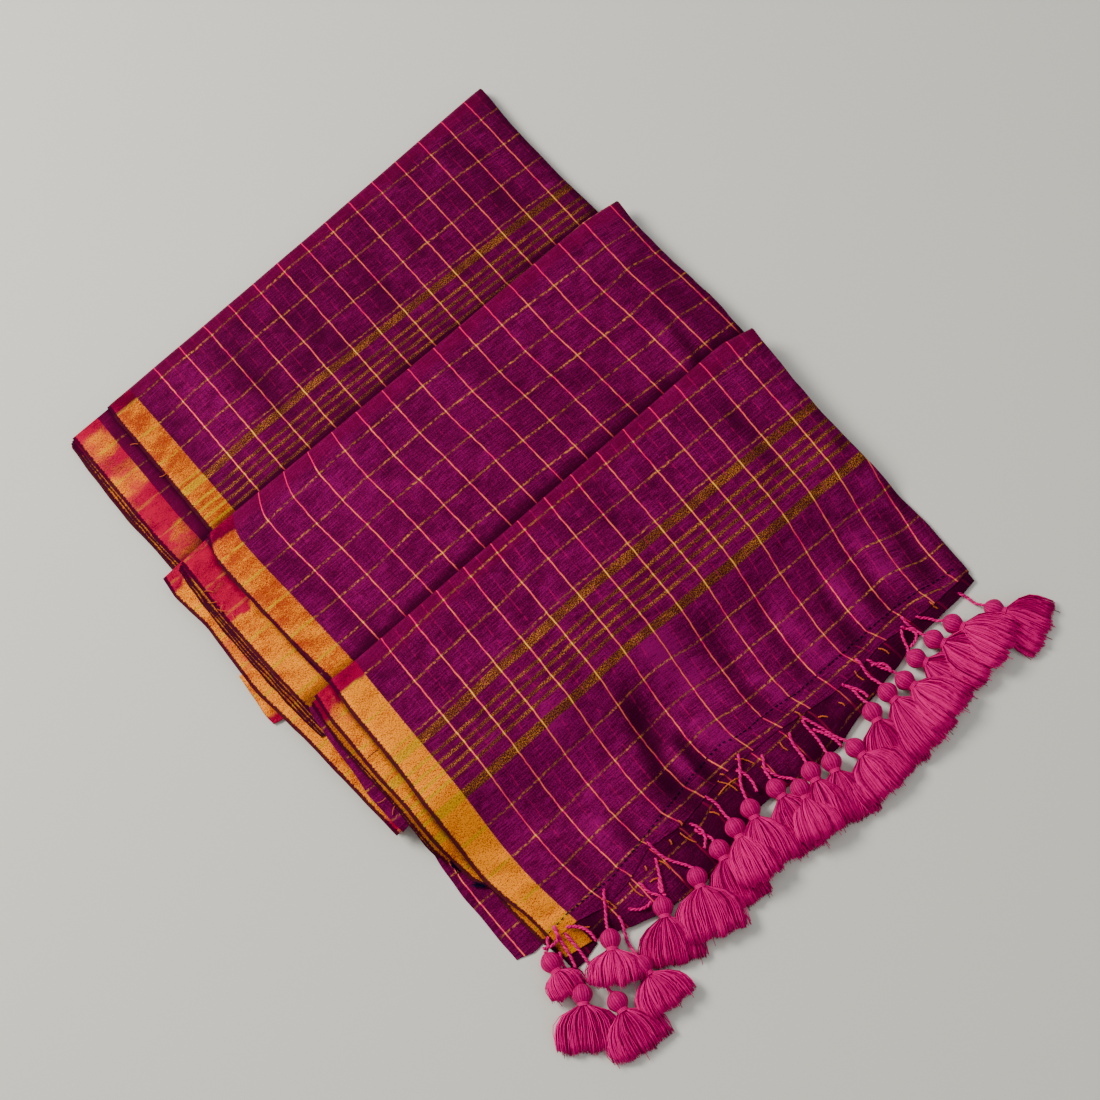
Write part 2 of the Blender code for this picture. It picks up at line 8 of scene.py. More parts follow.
import bpy
import numpy as np
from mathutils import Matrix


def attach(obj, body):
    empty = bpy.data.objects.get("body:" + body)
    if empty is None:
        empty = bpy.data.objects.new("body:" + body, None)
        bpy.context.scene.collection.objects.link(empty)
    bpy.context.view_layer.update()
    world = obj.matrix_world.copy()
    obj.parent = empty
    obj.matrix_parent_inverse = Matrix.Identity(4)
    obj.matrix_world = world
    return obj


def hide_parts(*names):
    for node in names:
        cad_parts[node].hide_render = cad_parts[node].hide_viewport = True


bl_info = {
    "name": "Folded saree",
    "version": (1, 0, 0),
    "blender": (4, 5, 0),
    "location": "View3D > Sidebar > Saree",
    "description": "Builds a folded handloom saree with its gold border and tassels",
    "category": "Object",
}

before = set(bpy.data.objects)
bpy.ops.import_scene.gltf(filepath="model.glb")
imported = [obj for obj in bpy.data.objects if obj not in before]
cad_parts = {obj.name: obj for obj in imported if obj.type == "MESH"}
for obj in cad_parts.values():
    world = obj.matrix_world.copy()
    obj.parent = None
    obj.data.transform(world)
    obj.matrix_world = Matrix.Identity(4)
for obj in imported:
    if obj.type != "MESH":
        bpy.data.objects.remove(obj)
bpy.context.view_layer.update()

MM = 0.001                            # metres
UV_UNIT = 100.0                       # millimetres of cloth to one unit of the UV map
WEFT_TURN = math.radians(41.5)
LAYOUT_CENTRE = (5.8, 3.4)
UP = np.array([0.0, 0.0, 1.0])

# Heights of the solids, which the cloth follows: gaps, walls, pile, slope and ripples
GAP = 0.3
UNDER_WALL = 1.0
TOP_WALL = 1.2
PILE_BACK = 6.0
PILE_MIDDLE = 10.8
PILE_FRONT = 15.2
SECOND_TOP = GAP + UNDER_WALL
TOP_TOP = GAP + UNDER_WALL + GAP + TOP_WALL
TOP_BACK = PILE_BACK + TOP_TOP
SLOPE_START = -66.0
SLOPE_LENGTH = 50.0
END_LAYER_TOP = 1.0
DROOP_START = -166.0
DROOP_LENGTH = 8.0
DROOP = 0.9
RIPPLE_START = -104.0
RIPPLE_LENGTH = 56.0
RIPPLES = (                           # u, half_width, height
    (-113, 13, 1.1), (-84, 14, 1.3), (-50, 15, 0.9), (-16, 17, 1.4), (26, 15, 1), (61, 15, 1.2),
    (98, 16, 1.4), (137, 14, 1),
)

# Left and right edges of each panel along the warp
BACK_EDGES = (                        # v, left, right
    (108, -139, 161), (133, -138, 161), (164, -136.8, 160.4), (205, -135.8, 160.8),
    (223, -135.5, 162), (250, -131.5, 164.5),
)
MIDDLE_EDGES = (                      # v, left, right
    (-5, -143, 170), (22, -143.8, 170.2), (51, -146.2, 171.9), (93, -147.4, 170.4),
    (107, -147.3, 170.5), (115, -146.7, 170.6), (123, -144.4, 171.2), (130, -140.8, 172.3),
    (138, -137, 173.5),
)
FRONT_EDGES = (                       # v, left, right
    (-185, -147, 166.5), (-156, -147.3, 168), (-148, -147.9, 168.8), (-140, -149.5, 169.4),
    (-131, -151.2, 170), (-120, -152.5, 169.8), (-108, -152.4, 169.6), (-96, -151.8, 169.4),
    (-71, -151.6, 166.7), (-40, -148.9, 167.6), (-3, -147.8, 171.4), (25, -144.6, 174.6),
)
UNDER_BACK_EDGES = (                  # v, left, right
    (108, -162.6, 158.6), (151, -163.9, 158.4), (215, -162, 158.8), (250, -160.4, 161.5),
)
UNDER_MIDDLE_EDGES = (                # v, left, right
    (-5, -163, 167.6), (40, -164.8, 168.4), (84, -165, 168), (138, -162, 170),
)
UNDER_FRONT_EDGES = (                 # v, left, right
    (-190, -148.6, 165.5), (-172, -148.8, 166), (-162, -151.1, 166.3), (-152, -151.8, 167),
    (-142, -152.7, 167.2), (-134, -152.6, 167.4), (-127, -151.8, 167.6), (-121.5, -153, 167.8),
    (-116, -156.4, 167.2), (-105, -158, 166.4), (-90, -159.9, 165.4), (-76, -160.2, 164.8),
    (-62, -159.5, 165.4), (-46, -160, 166.6), (-28, -159.8, 167.6), (-10, -158.9, 168.6),
    (2, -158.7, 169.4), (17, -156.4, 170.6), (25, -155.6, 171),
)
LOWER_MIDDLE_EDGES = (                # v, left, right
    (-75, -171.6, -129), (-50, -172.9, -129), (4, -175, -129), (43, -178.3, -129),
    (91, -174.9, -129), (115, -177.4, -129), (130, -175, -129),
)
LOWER_FRONT_EDGES = (                 # v, left, right
    (-76, -168.2, -121), (-63, -169.4, -121), (-54, -169.6, -121), (-42, -169.4, -121),
    (-35, -168.2, -121), (-26, -167.2, -121), (-15, -166.8, -121), (-3, -165.4, -121),
    (12, -163.8, -121), (16, -161.4, -121),
)
END_LOWER_EDGES = (                   # v, left, right
    (-168, -167, 158), (-116, -165.8, 160), (-95, -163.9, 160), (-78, -160, 160),
)
TONGUE_EDGES = (                      # v, left, right
    (22, -181.4, -170), (31, -181.8, -170), (45, -179.9, -169.6), (60, -178.4, -168.2),
)
BACK_FOLD = ((-162, 231.4), (-116, 233.2), (20, 240.5), (166, 249.8))
MIDDLE_FOLD = ((-178, 127.4), (-140, 131.2), (20, 134.4), (150, 138), (174, 135.6))
FRONT_FOLD = ((-160, 19), (-125, 18.2), (20, 21.6), (153, 24.9), (176, 20.3))
TOP_HEM = (                           # u, v
    (-155, -167), (-129, -167.8), (-113, -172.6), (-93, -170.3), (-75, -163.8), (-52, -166.6),
    (-18, -161.2), (17, -162), (58, -167), (78, -167.6), (98, -164.4), (138, -167.2), (175, -166.2),
)
SECOND_HEM = (                        # u, v
    (-158, -174), (-150, -177.6), (-140, -179), (-127, -181.6), (-106, -190.6), (-88, -195.4),
    (-66, -197.4), (-46, -196), (-34, -193), (-22, -188.6), (-14, -187), (1, -187.6), (20, -191),
    (44, -191.4), (58, -187), (84, -181.6), (100, -179.4), (116, -175.2), (154, -173.8),
    (170, -171.6),
)
END_LOWER_HEM = ((-168, -161.6), (-156, -164.9), (-130, -162), (162, -160))
LOWER_MIDDLE_END = ((-178, -71.4), (-166, -69.8), (-128, -66))
LOWER_MIDDLE_FOLD = ((-178, 127.4), (-158, 129), (-141, 127.6), (-128, 127.6))
LOWER_FRONT_END = ((-172, -72.6), (-120, -64))
LOWER_FRONT_FOLD = ((-165, 14.4), (-120, 15.2))
CORNER_LEAF_EDGES = (                 # v, left, right
    (-190, -147.4, -128.6), (-160, -147.8, -128),
)
CORNER_LEAF_END = ((-149, -186), (-141, -186.8), (-128, -183))
CORNER_LEAF_FOLD = ((-149, -164), (-128, -164))
TONGUE_END = ((-183, 24.4), (-176, 22.4))
BACK_END = ((-170, 110), (176, 110))
MIDDLE_END = ((-170, -2), (176, -2))
END_LOWER_START = ((-170, -78.6), (176, -78.6))
TONGUE_START = ((-183, 58), (-176, 58))
STITCH_LINE = (                       # u, v
    (-146.5, -163), (-130, -161.4), (-100, -162.8), (-67, -157), (-27, -149.4), (-6, -147.5),
    (4, -150.4), (25, -151.3), (47, -154), (118, -154), (137, -155.8), (153, -159), (163, -160),
)

# Where the cloth's own threads lie. A warp table gives, for some v, the u of the border's inner
# edge and of the first gold warp line, and the spacing of the lines after it.
WARP_PITCH = 19.5
WEFT_PITCH = 21.3
BORDER_WIDTH = 18.6
FIRST_LINE = 37.5                     # from the selvedge to the first gold warp line
BEFORE_LINES = (28.0, 30.0)           # no gold warp line is nearer the selvedge
GHOST_OFFSET = 8.8                    # from a gold warp line to a faint pink one
WEAVE_TURN = 13.0                     # radians of the plain weave to a millimetre
WARP_BACK = (                         # v, border_inner, first, pitch
    (139, -119.6, -101.9, 19.1), (198, -118.5, -100, 19.1), (236, -118.3, -99.3, 19.15),
)
WARP_MIDDLE = (                       # v, border_inner, first, pitch
    (23, -127.1, -108.6, 19.74), (70, -128, -109.2, 19.74), (96, -129, -110.6, 19.74),
    (138, -128.8, -109.8, 19.8),
)
WARP_FRONT = (                        # v, border_inner, first, pitch
    (-168, -129.4, -112.6, 19.2), (-155, -130.8, -113.8, 19.3), (-137, -132.4, -115.3, 19.5),
    (-118, -132.6, -115, 19.8), (-78, -131.2, -113.3, 20.1), (-36, -129.6, -111, 20.2),
    (8, -127.8, -109, 20.3), (22, -126.4, -107.6, 20.3),
)

# A weft table gives the v of some weft lines at a few places across. along counts from the thin
# line that opens the striped bands.
WEFT_AT_BACK = (-120, -80, -32, 16, 64, 110, 160)
WEFT_BACK = (                         # along, v at each place
    (-85.2, 245, 247.2, 250, 252.6, 253.8, 253.8, 252),
    (-63.9, 223.9, 226.3, 229.2, 231.8, 233, 233, 231.4),
    (-42.6, 203.7, 206.6, 209.9, 210.9, 211.6, 212, 209.6),
    (-21.3, 183.5, 185.4, 188.5, 189.4, 189.9, 190.4, 189),
    (0, 165.6, 168, 169.2, 169.2, 169.2, 169.2, 168),
    (34.6, 135.9, 137, 139, 139.7, 139, 137.8, 136), (60, 112, 113, 115, 116, 115, 114, 112),
)
WEFT_AT_MIDDLE = (-126, -90, -52, 5, 65, 125, 148, 168)
WEFT_MIDDLE = (                       # along, v at each place
    (342.1, 134, 137, 139.6, 140.9, 140, 138.4, 137.6, 136),
    (363.4, 113, 115.8, 118.4, 119.6, 118.7, 117.2, 116.4, 114.6),
    (384.7, 93.7, 94.9, 97.5, 98.9, 97, 95.3, 97.2, 93.9),
    (406, 73.7, 74.4, 76.8, 78, 76, 74.1, 76, 73.4),
    (427.3, 53, 53, 55.6, 56.8, 55.1, 53.2, 54.9, 52.2),
    (448.6, 32.5, 33.4, 35.1, 35.6, 33.9, 32, 32, 31),
    (469.9, 11.5, 12.4, 14.1, 14.6, 12.9, 11, 11, 10),
)
WEFT_AT_FRONT = (-125, -60, -8, 30, 75, 125, 160)
WEFT_FRONT = (                        # along, v at each place
    (-63.9, 28.6, 33, 35, 34, 33.4, 32.2, 30.6), (-42.6, 8.2, 12.4, 13.7, 13.3, 12.8, 11.6, 10),
    (-21.3, -13.2, -10.6, -8, -8.8, -9.8, -10.4, -11.1),
    (0, -35.1, -32.4, -30.4, -30.6, -31.8, -32.2, -32.8),
    (5.7, -40.3, -38, -36.2, -36.6, -37.6, -37.9, -38.6),
    (45.05, -78.1, -77.1, -75.4, -76.6, -77.2, -77.7, -78.7),
    (65.2, -98, -96, -93.4, -97.2, -98, -98.8, -100.5),
    (86.5, -118.8, -115.9, -113.4, -117.4, -118.4, -117, -124),
    (107.8, -140.5, -138.5, -135.2, -139.1, -139.3, -137.5, -145),
    (129.1, -161.5, -158.2, -157, -159.4, -160.2, -158.2, -165),
    (150.4, -182, -179, -178, -180, -181, -179, -186),
)

# The striped bands, counted as along is: where each band and the stripes lie, and where the
# check stops before them and starts again after them
BAND_FIRST = (2.9, 8.5)
BAND_LAST = (42.4, 47.7)
STRIPES = (13.0, 38.0)
STRIPE_PITCH = 5.97
STRIPE_FIRST = 16.7
CHECK_STOPS = (1.4, 1.8)
CHECK_STARTS = (54.0, 55.0)
CHECK_AGAIN = 65.2                    # the first weft line after the bands

SECOND_WEFT = (                       # u, v of the second panel's own last gold weft line
    (-158, -178), (-108, -175.4), (-45, -173.6), (-30, -167.8), (28, -167.4), (60, -161),
    (170, -158),
)
HEM_SHADE = (                         # u, painted shade on the second panel under the top one; below 0, painted light
    (-158, 0.1), (-134, 0.35), (-124, 0.7), (-108, -0.1), (-84, -0.2), (-70, 0.3), (-58, 0.45),
    (-46, 0.55), (-24, 0.6), (-12, 0.4), (6, 0.1), (18, 0.1), (30, 0.5), (50, 0.55), (70, 0.2),
    (90, 0.45), (112, 0.45), (140, 0.2), (170, 0.5),
)

# Creases: a soft ridge or trough along a line
CREASES_FRONT = (                     # u0, v0, u1, v1, half_width, height
    (-22, -80, -52, -172, 8, -2.4), (-29, -124, -33, -156, 6, 1.3),
    (-18, -118, -25, -174, 5.5, -2.4), (-36, -140, -40, -172, 6, -1.4), (2, -68, 4, -128, 10, 1.3),
    (-6, -120, -3, -162, 7, 1), (37, -76, 24, -168, 7, -1.4), (33, -118, 36, -160, 6, 1),
    (60, -92, 54, -172, 6, -1.3), (70, -104, 70, -165, 7, 0.9), (99, -98, 89, -172, 6, -1.6),
    (107, -110, 103, -160, 6, 0.8), (123, -90, 114, -172, 7, -1.4), (130, -96, 130, -154, 7, 1.2),
    (154, -96, 146, -172, 7, -1.4), (-112, -116, -105, -172, 8, -0.8),
    (-91, -124, -84, -170, 8, 0.7), (-77, -120, -75, -170, 6, -0.8), (-64, -66, -64, -96, 8, 0.7),
    (-152, -106, -126, -121, 2.6, 0.9), (-154, -116, -126, -133, 2.2, -1.2),
    (-148, -134, -118, -142, 3, 0.6), (-150, -150, -124, -158, 2.6, -0.6),
    (-130, -30, 150, -26, 9, 0.25), (40, 18, 34, -70, 8, -0.5), (128, 20, 124, -74, 5, -0.8),
    (166, -60, 150, -84, 5, -0.8), (172, -82, 152, -98, 6, 0.7),
)
CREASES_MIDDLE = (                    # u0, v0, u1, v1, half_width, height
    (143, 84, 139, 2, 3.6, -0.9), (134, 76, 126, 6, 8, 0.6), (154, 124, 156, 4, 7, -0.5),
    (88, 76, 84, 20, 9, -0.4), (-110, 110, -60, 112, 7, 0.3), (-50, 128, -70, 60, 14, 0.4),
    (20, 120, 10, 30, 12, 0.3), (50, 118, 46, 30, 10, -0.3), (-118, 120, -112, 10, 7, -0.4),
)
CREASES_BACK = (                      # u0, v0, u1, v1, half_width, height
    (-88, 236, -88, 132, 14, 0.7), (-60, 226, -60, 140, 6, -0.5), (-12, 226, -14, 150, 8, -0.4),
    (60, 236, 66, 140, 10, 0.3), (66, 222, 62, 180, 6, -0.5), (30, 200, 34, 160, 8, -0.3),
    (128, 238, 120, 140, 8, -0.3),
)

# Hidden leaves of the pile: each is one folded layer, seen only along its edges
LEAVES = (                            # low, high, count, near, far, left, right, gold_edge
    (0.15, 6, 5, -69, 0, 0, 0, 1), (6.1, 9, 3, -68, 107, 1.6, 0, 1),
    (9.2, 10.8, 1, -67, 0, 44, 1, 0), (10.8, 13.8, 3, -64, -5, 9, 1.5, 1),
    (13.9, 15.2, 1, -62, 0, 52, 1.5, 0),
)
LEAF_LEFT = (                         # v, left
    (-80, -171), (107, -172.6), (126, -171.6), (133, -167), (180, -168.6), (215, -166.6),
    (250, -164.4),
)
LEAF_RIGHT = ((-80, 160.5), (60, 168.4), (126, 167.4), (134, 158.6), (250, 161.8))
LEAVES_WIDTH = 0.66                   # metres, of a leaf and its return when unfolded
LEAF_THICKNESS = 0.25
CLOTH_THICKNESS = 0.3                 # of every other piece of cloth

# Tassels: the same places as the solids, but for the eighth, which lies a little nearer the hem,
# and where each cord leaves the cloth
HEAD_RADIUS = 5.3
HEAD_HEIGHT = 5.8
HEAD_SIDES = 88
HEAD_RINGS = 20
NECK_RADIUS = 3.0
NECK_WIDTH = 3.1
LEVELS = (0.4, 3.5, 6.6)              # the height that a tassel's threads lie at
TASSELS = (                           # u, v, lean, length, spread, level, root_u, root_v
    (-153.3, -198.6, -33.7, 30, 11, 0, -140.7, -162),
    (-122.7, -187, -33.1, 25, 9, 2, -107.1, -165.3),
    (-142, -213.8, -11.1, 29.6, 11, 0, -138, -168.5),
    (-119.4, -208.5, -7.9, 27, 10, 1, -111, -180.5),
    (-90.2, -192.6, -30, 31, 11.5, 0, -91.3, -174.6),
    (-65.8, -193, -23.9, 34, 12, 1, -73.2, -161.6),
    (-46.7, -189.9, -14.9, 33.2, 9, 0, -48.5, -172.8),
    (-154.6, -175.4, -9, 20, 5, 1, -146.5, -164.5),
    (-32.3, -186.8, -15.6, 33, 6.5, 2, -31.5, -163.6), (-18.9, -184.6, -18, 34, 9.5, 1, -3, -158),
    (-0.9, -185.6, -7.1, 38, 10, 0, 6.4, -166.5), (8.8, -194.4, -18, 30, 7, 2, 3, -173.4),
    (19.9, -191.4, -16.8, 34, 7, 1, 26.4, -167.6), (32, -195, -22, 34, 11, 0, 37.2, -167.3),
    (47.1, -197.6, -0.4, 31.1, 11, 1, 38.5, -165), (68.4, -189.4, -15.8, 37, 11, 0, 68, -167.8),
    (82.4, -186.9, -0.8, 39, 11, 1, 82.5, -161.5), (94.4, -188.2, 12, 34, 9, 2, 87.1, -166.3),
    (107.9, -183.4, 23.7, 36.2, 10, 0, 113.9, -165.9), (123, -182, 22.8, 35.7, 10, 1, 119.5, -161),
    (137.5, -182.4, 23.8, 34.3, 9, 2, 126.3, -166),
    (160.7, -191.6, 26.5, 32.2, 11, 0, 153.9, -171.5),
)
THREADS_PER_TASSEL = 450
THREAD_SIDES = 3
THREAD_STEPS = 6
THREAD_RADIUS = 0.3
CORE_SIDES = 28
CORE_RINGS = 12
PLY_RADIUS = 0.56
PLY_SIDES = 6
PLY_PITCH = 4.6                       # along a cord, for one full turn of its plies

# The hem's running stitch, and loose ends of gold thread beyond the last weft line
STITCH_START = -148.5
STITCH_END = 162.0
STITCH_SPACING = (2.7, 3.7)
STITCH_LENGTH = (1.3, 2.1)
STITCH_RADIUS = 0.3
END_RADIUS = 0.25
END_STRANDS = (-0.28, 0.28)           # how far each of an end's two strands is off its line
THREAD_ENDS = (                       # u0, v0, u1, v1, bend
    (-21.1, -161.6, -16.6, -172.8, 0.9), (-55.8, -169, -52.7, -178.6, -0.6),
    (-62.6, -167.9, -63.4, -170.6, 0.2), (-74.5, -172.4, -73.1, -180, 0.7),
    (-94.6, -171, -93.7, -181.6, -0.9), (-82.2, -169.8, -83.2, -172.2, 0.2),
    (-52.2, -163.4, -52.6, -166.9, 0.5), (-6, -159, 0.6, -168, 1.1),
    (-26, -167.4, -12.5, -167.2, 0.8), (137.2, -164.6, 138.5, -170.4, -0.5),
    (96.9, -165.2, 99.5, -171.4, 0.6), (77.7, -166, 78.8, -173, -0.7),
    (59.1, -173, 60.4, -176.6, 0.3), (-17.8, -159.6, -16.6, -161.6, 0.2),
    (19.2, -168, 19.6, -174.2, -0.8), (37, -161, 37.6, -166.4, 0.5), (-112, -168, -109, -177, 0.9),
    (-130, -170, -126, -174.5, -0.7), (-141.5, -168.5, -139, -173.5, 0.6),
    (-36, -171, -33, -176, 0.5), (2.5, -171, 3.5, -174.6, -0.3), (-86, -178, -81, -179.4, 0.4),
    (45, -171.5, 49, -175, 0.4),
)

# Loose strands along the left side: single threads, and tufts of them from one root
LOOSE_STRANDS = (                     # u0, v0, z0, u1, v1, z1, bend, gold
    (-157.6, -29.4, 18.6, -150.1, -29.9, 18.9, 0.5, 0),
    (-161.4, 96, 13.4, -165.4, 99.4, 13.2, 0.9, 1), (-160.4, 92.4, 13.4, -163.6, 89, 13.2, -0.8, 1),
    (-161, 88, 13.4, -164, 92.6, 13.6, 0.7, 1), (-160, 84.6, 13.4, -163, 79.8, 13.2, 0.9, 1),
    (-159.6, 101.4, 13.4, -163.4, 105, 13.2, -0.7, 1),
    (-134.4, 176.4, 9.2, -138.6, 178, 8.4, 0.6, 1), (-135.6, 201.4, 9.2, -139.4, 204, 8.4, -0.6, 1),
    (-163.6, -52, 16.4, -168.4, -50.6, 15.4, 0.8, 1),
    (-163, -58.6, 16, -166.6, -61.8, 15.4, -0.7, 1),
)
STRAND_RADIUS = 0.22
TUFT_RADIUS = 0.2
TUFTS = (                             # root u, v, z, end u, v, z, spread, strands
    (-157, -95, 4.4, -158.6, -105.4, 1.9, 3, 34), (-157.4, -102, 2.8, -155, -108.4, 2, 2.2, 20),
    (-153.4, -121.6, 2.6, -157.2, -115.8, 1.7, 2, 26),
)

# Short spare cords among the tassels' own
SPARE_CORDS = (                       # three places each: u, v, rise over what lies beneath
    ((-9.5, -163.7, 0.6), (-7.2, -171.6, 1.4), (-9.7, -180, 2.6)),
    ((-75, -170.4, 0.6), (-80, -179, 1.4), (-84.9, -187, 2.6)),
    ((-135.9, -166.8, 0.8), (-129.6, -173.3, 3.6), (-129, -183, 4.6)),
    ((-140.5, -161.7, 0.6), (-144.3, -168.5, 1.6), (-152.6, -167.2, 2.2)),
    ((-147, -174.1, 1.4), (-150.6, -182, 3), (-149.4, -189.2, 3.4)),
    ((-104.3, -180.9, 0.6), (-99, -185.9, 1.4), (-92.9, -186.5, 2.8)),
    ((-80.6, -179.8, 0.4), (-84.8, -184.6, 1.2), (-84.4, -189, 1.8)),
    ((87.3, -169.6, 0.6), (92.4, -174, 2.6), (92.2, -180, 3.2)),
    ((114.8, -164.6, 0.6), (118.4, -173, 2.6), (110.4, -176.6, 3.4)),
    ((38, -174.6, 0.4), (41.6, -184, 3), (42.4, -192.4, 3.6)),
    ((67.2, -167.2, 0.6), (71.8, -175, 2.2), (72.8, -181.7, 3)),
    ((-48.6, -168.6, 0.4), (-46.4, -177, 1.8), (-52, -184, 2.4)),
)

# Edges of single layers that fan out at the left, between the second panel and the pile
STRIP_WIDTH = 12.0
LAYER_EDGES = (                       # key, lift, near, far, seed, rows of v and left
    ("front", 0.92, -99, 15.4, 81, (
        (14, -159.8), (3, -161.9), (-12, -163), (-30, -162.6), (-43, -162.6),
        (-60, -162.5), (-78, -163), (-90, -162.8), (-99, -161))),
    ("front", 0.5, -94, 14.6, 82, (
        (10, -160.8), (-10, -163.7), (-27, -163.9), (-39, -163.8), (-51, -163.3),
        (-65, -163.8), (-77, -164.4), (-88, -164.4), (-94, -163))),
    ("middle", 0.95, -2, 126.6, 83, (
        (-5, -164.6), (40, -166.3), (84, -166.6), (110, -166), (128, -163.8))),
    ("middle", 0.62, -2, 126, 84, (
        (-5, -166.2), (30, -168), (60, -168.4), (92, -167.8), (128, -165))),
    ("middle", 0.28, -2, 125.4, 85, (
        (-5, -167.4), (25, -169.6), (55, -170), (92, -169.4), (128, -166))),
    ("back", 0.9, 110, 228.8, 86, (
        (108, -164.2), (151, -165.5), (190, -164.6), (215, -163.4), (250, -161.6))),
    ("back", 0.45, 110, 228.2, 87, (
        (108, -165.6), (151, -167.2), (185, -166.6), (215, -164.6), (250, -162.4))),
)

# The stage: the camera looks down at the photograph's angle, lengths here are in metres
LENS = 50.0                           # millimetres, as the sensor's width
SENSOR = 24.0
CAMERA_DISTANCE = 1.295
CAMERA_TILT = math.radians(20.0)
FLOOR_HALF = 4.0
LAMPS = (                             # name, place, side, power, colour
    ("key light", (-1.3, 0.4, 1.2), 0.7, 42.0, (1.0, 0.98, 0.95)),
    ("fill light", (1.2, -0.9, 1.4), 1.6, 5.0, (0.95, 0.97, 1.0)),
    ("top light", (0.0, 0.1, 2.2), 1.6, 8.0, (1.0, 1.0, 1.0)),
)


def read(rows, x, column=1):
    """One column of a table, read straight between its rows."""
    listed = np.array(rows, float)
    order = np.argsort(listed[:, 0])
    return np.interp(x, listed[order, 0], listed[order, column])


def smooth_read(rows, x, column=1, width=5.0):
    """The same, averaged over a short stretch, so that an edge has no corners at the rows."""
    steps = np.linspace(-1.0, 1.0, 7)
    weights = np.cos(0.5 * math.pi * steps * 0.98)
    weights = weights / weights.sum()
    return sum(w * read(rows, x + s * width, column) for w, s in zip(weights, steps))


def ease(x):
    """A smooth step from 0 to 1: 3x^2 - 2x^3."""
    x = np.clip(x, 0.0, 1.0)
    return x * x * (3.0 - 2.0 * x)


def bell(distance, reach):
    """1 at no distance and next to nothing at twice the reach: exp(-(distance / reach)^2)."""
    return np.exp(-((distance / reach) ** 2))


def unevenness(x, y, length, seed, waves=14):
    """A sum of cosine waves in random directions, each about length long, from about -1 to 1."""
    random = np.random.default_rng(seed)
    total = np.zeros(np.broadcast(x, y).shape)
    for _ in range(waves):
        turn = random.uniform(0.0, math.pi)
        wave = length * random.uniform(0.6, 1.8)
        phase = random.uniform(0.0, 2.0 * math.pi)
        total += np.cos(2.0 * math.pi * (x * math.cos(turn) + y * math.sin(turn)) / wave + phase)
    return total / math.sqrt(waves) / 1.5


def creases(rows, u, v):
    """Soft ridges and troughs: a bell across each line that fades to nothing at its two ends."""
    height = np.zeros(u.shape)
    for u0, v0, u1, v1, half_width, lift in rows:
        du, dv = u1 - u0, v1 - v0
        length = math.hypot(du, dv)
        along = ((u - u0) * du + (v - v0) * dv) / length
        bend = 1.5 * np.sin(along / length * 4.0 + u0)
        across = ((v - v0) * du - (u - u0) * dv) / length + bend
        fade = ease(along / length * 3.0) * ease((1.0 - along / length) * 3.0)
        height = height + lift * fade * bell(across, half_width)
    return height


def front_support(u, v):
    """How high the front stretch lies: the pile, the slope, the end's lower layer, the ripples
    and the creases."""
    slope = ease((SLOPE_START - v) / SLOPE_LENGTH)
    height = PILE_FRONT + (END_LAYER_TOP - PILE_FRONT) * slope
    height = height - DROOP * ease((DROOP_START - v) / DROOP_LENGTH)
    near_hem = ease((RIPPLE_START - v) / RIPPLE_LENGTH)
    for centre, half_width, lift in RIPPLES:
        height = height + lift * near_hem * bell(u - centre, half_width)
    return height + (creases(CREASES_FRONT, u, v) + 0.28 * unevenness(u, v, 46.0, 11))


def middle_support(u, v):
    """The middle pile's top, a little uneven."""
    return PILE_MIDDLE + creases(CREASES_MIDDLE, u, v) + 0.22 * unevenness(u, v, 52.0, 12)


def back_support(u, v):
    """The back pile's top, a little uneven."""
    return PILE_BACK + creases(CREASES_BACK, u, v) + 0.22 * unevenness(u, v, 50.0, 13)


def to_world(points):
    """Layout millimetres to the part's frame in metres: a turn about +Z and a shift."""
    points = np.asarray(points, float)
    u = points[..., 0] - LAYOUT_CENTRE[0]
    v = points[..., 1] - LAYOUT_CENTRE[1]
    cos, sin = math.cos(WEFT_TURN), math.sin(WEFT_TURN)
    return np.stack([u * cos - v * sin, u * sin + v * cos, points[..., 2]], axis=-1) * MM


def warp_place(rows, edges, u, v):
    """How far a point lies from the selvedge in the cloth: straight between the selvedge, the
    border's inner edge, the first gold line and the even lines after it."""
    inner, first, pitch = (smooth_read(rows, v, column, 8.0) for column in (1, 2, 3))
    left = smooth_read(edges, v)
    in_border = (u - left) / (inner - left) * BORDER_WIDTH
    to_first = BORDER_WIDTH + (u - inner) / (first - inner) * (FIRST_LINE - BORDER_WIDTH)
    beyond = FIRST_LINE + (u - first) / pitch * WARP_PITCH
    return np.where(u < inner, in_border, np.where(u < first, to_first, beyond))


def weft_place(rows, places, u, v):
    """How far a point lies along the warp: each place's column is read at v, and neighbouring
    places are mixed by u."""
    listed = np.array(rows, float)
    total, weight = np.zeros(u.shape), np.zeros(u.shape)
    last = len(places) - 1
    for number, place in enumerate(places):
        column = listed[:, number + 1]
        order = np.argsort(column)
        value = np.interp(v, column[order], listed[order, 0])
        left, right = places[max(number - 1, 0)], places[min(number + 1, last)]
        rise = 1.0 if number == 0 else ease((u - left) / (place - left))
        fall = 1.0 if number == last else ease((right - u) / (right - place))
        share = np.where(u < place, rise, fall)
        total, weight = total + share * value, weight + share
    return total / weight


def grid_quads(rows, columns):
    """The faces of a grid, by the numbers of its points."""
    index = np.arange(rows * columns).reshape(rows, columns)
    quads = [index[:-1, :-1], index[:-1, 1:], index[1:, 1:], index[1:, :-1]]
    return np.stack(quads, axis=-1).reshape(-1, 4)


def linked(name, mesh, material):
    """A smooth mesh as an object of the scene, with its material."""
    mesh.shade_smooth()
    mesh.materials.append(material)
    made = bpy.data.objects.new(name, mesh)
    bpy.context.scene.collection.objects.link(made)
    return made


def set_field(mesh, name, values):
    """A number for each point of a mesh, which its material reads."""
    field = mesh.attributes.new(name, "FLOAT", "POINT")
    field.data.foreach_set("value", np.ravel(values).astype(np.float32))


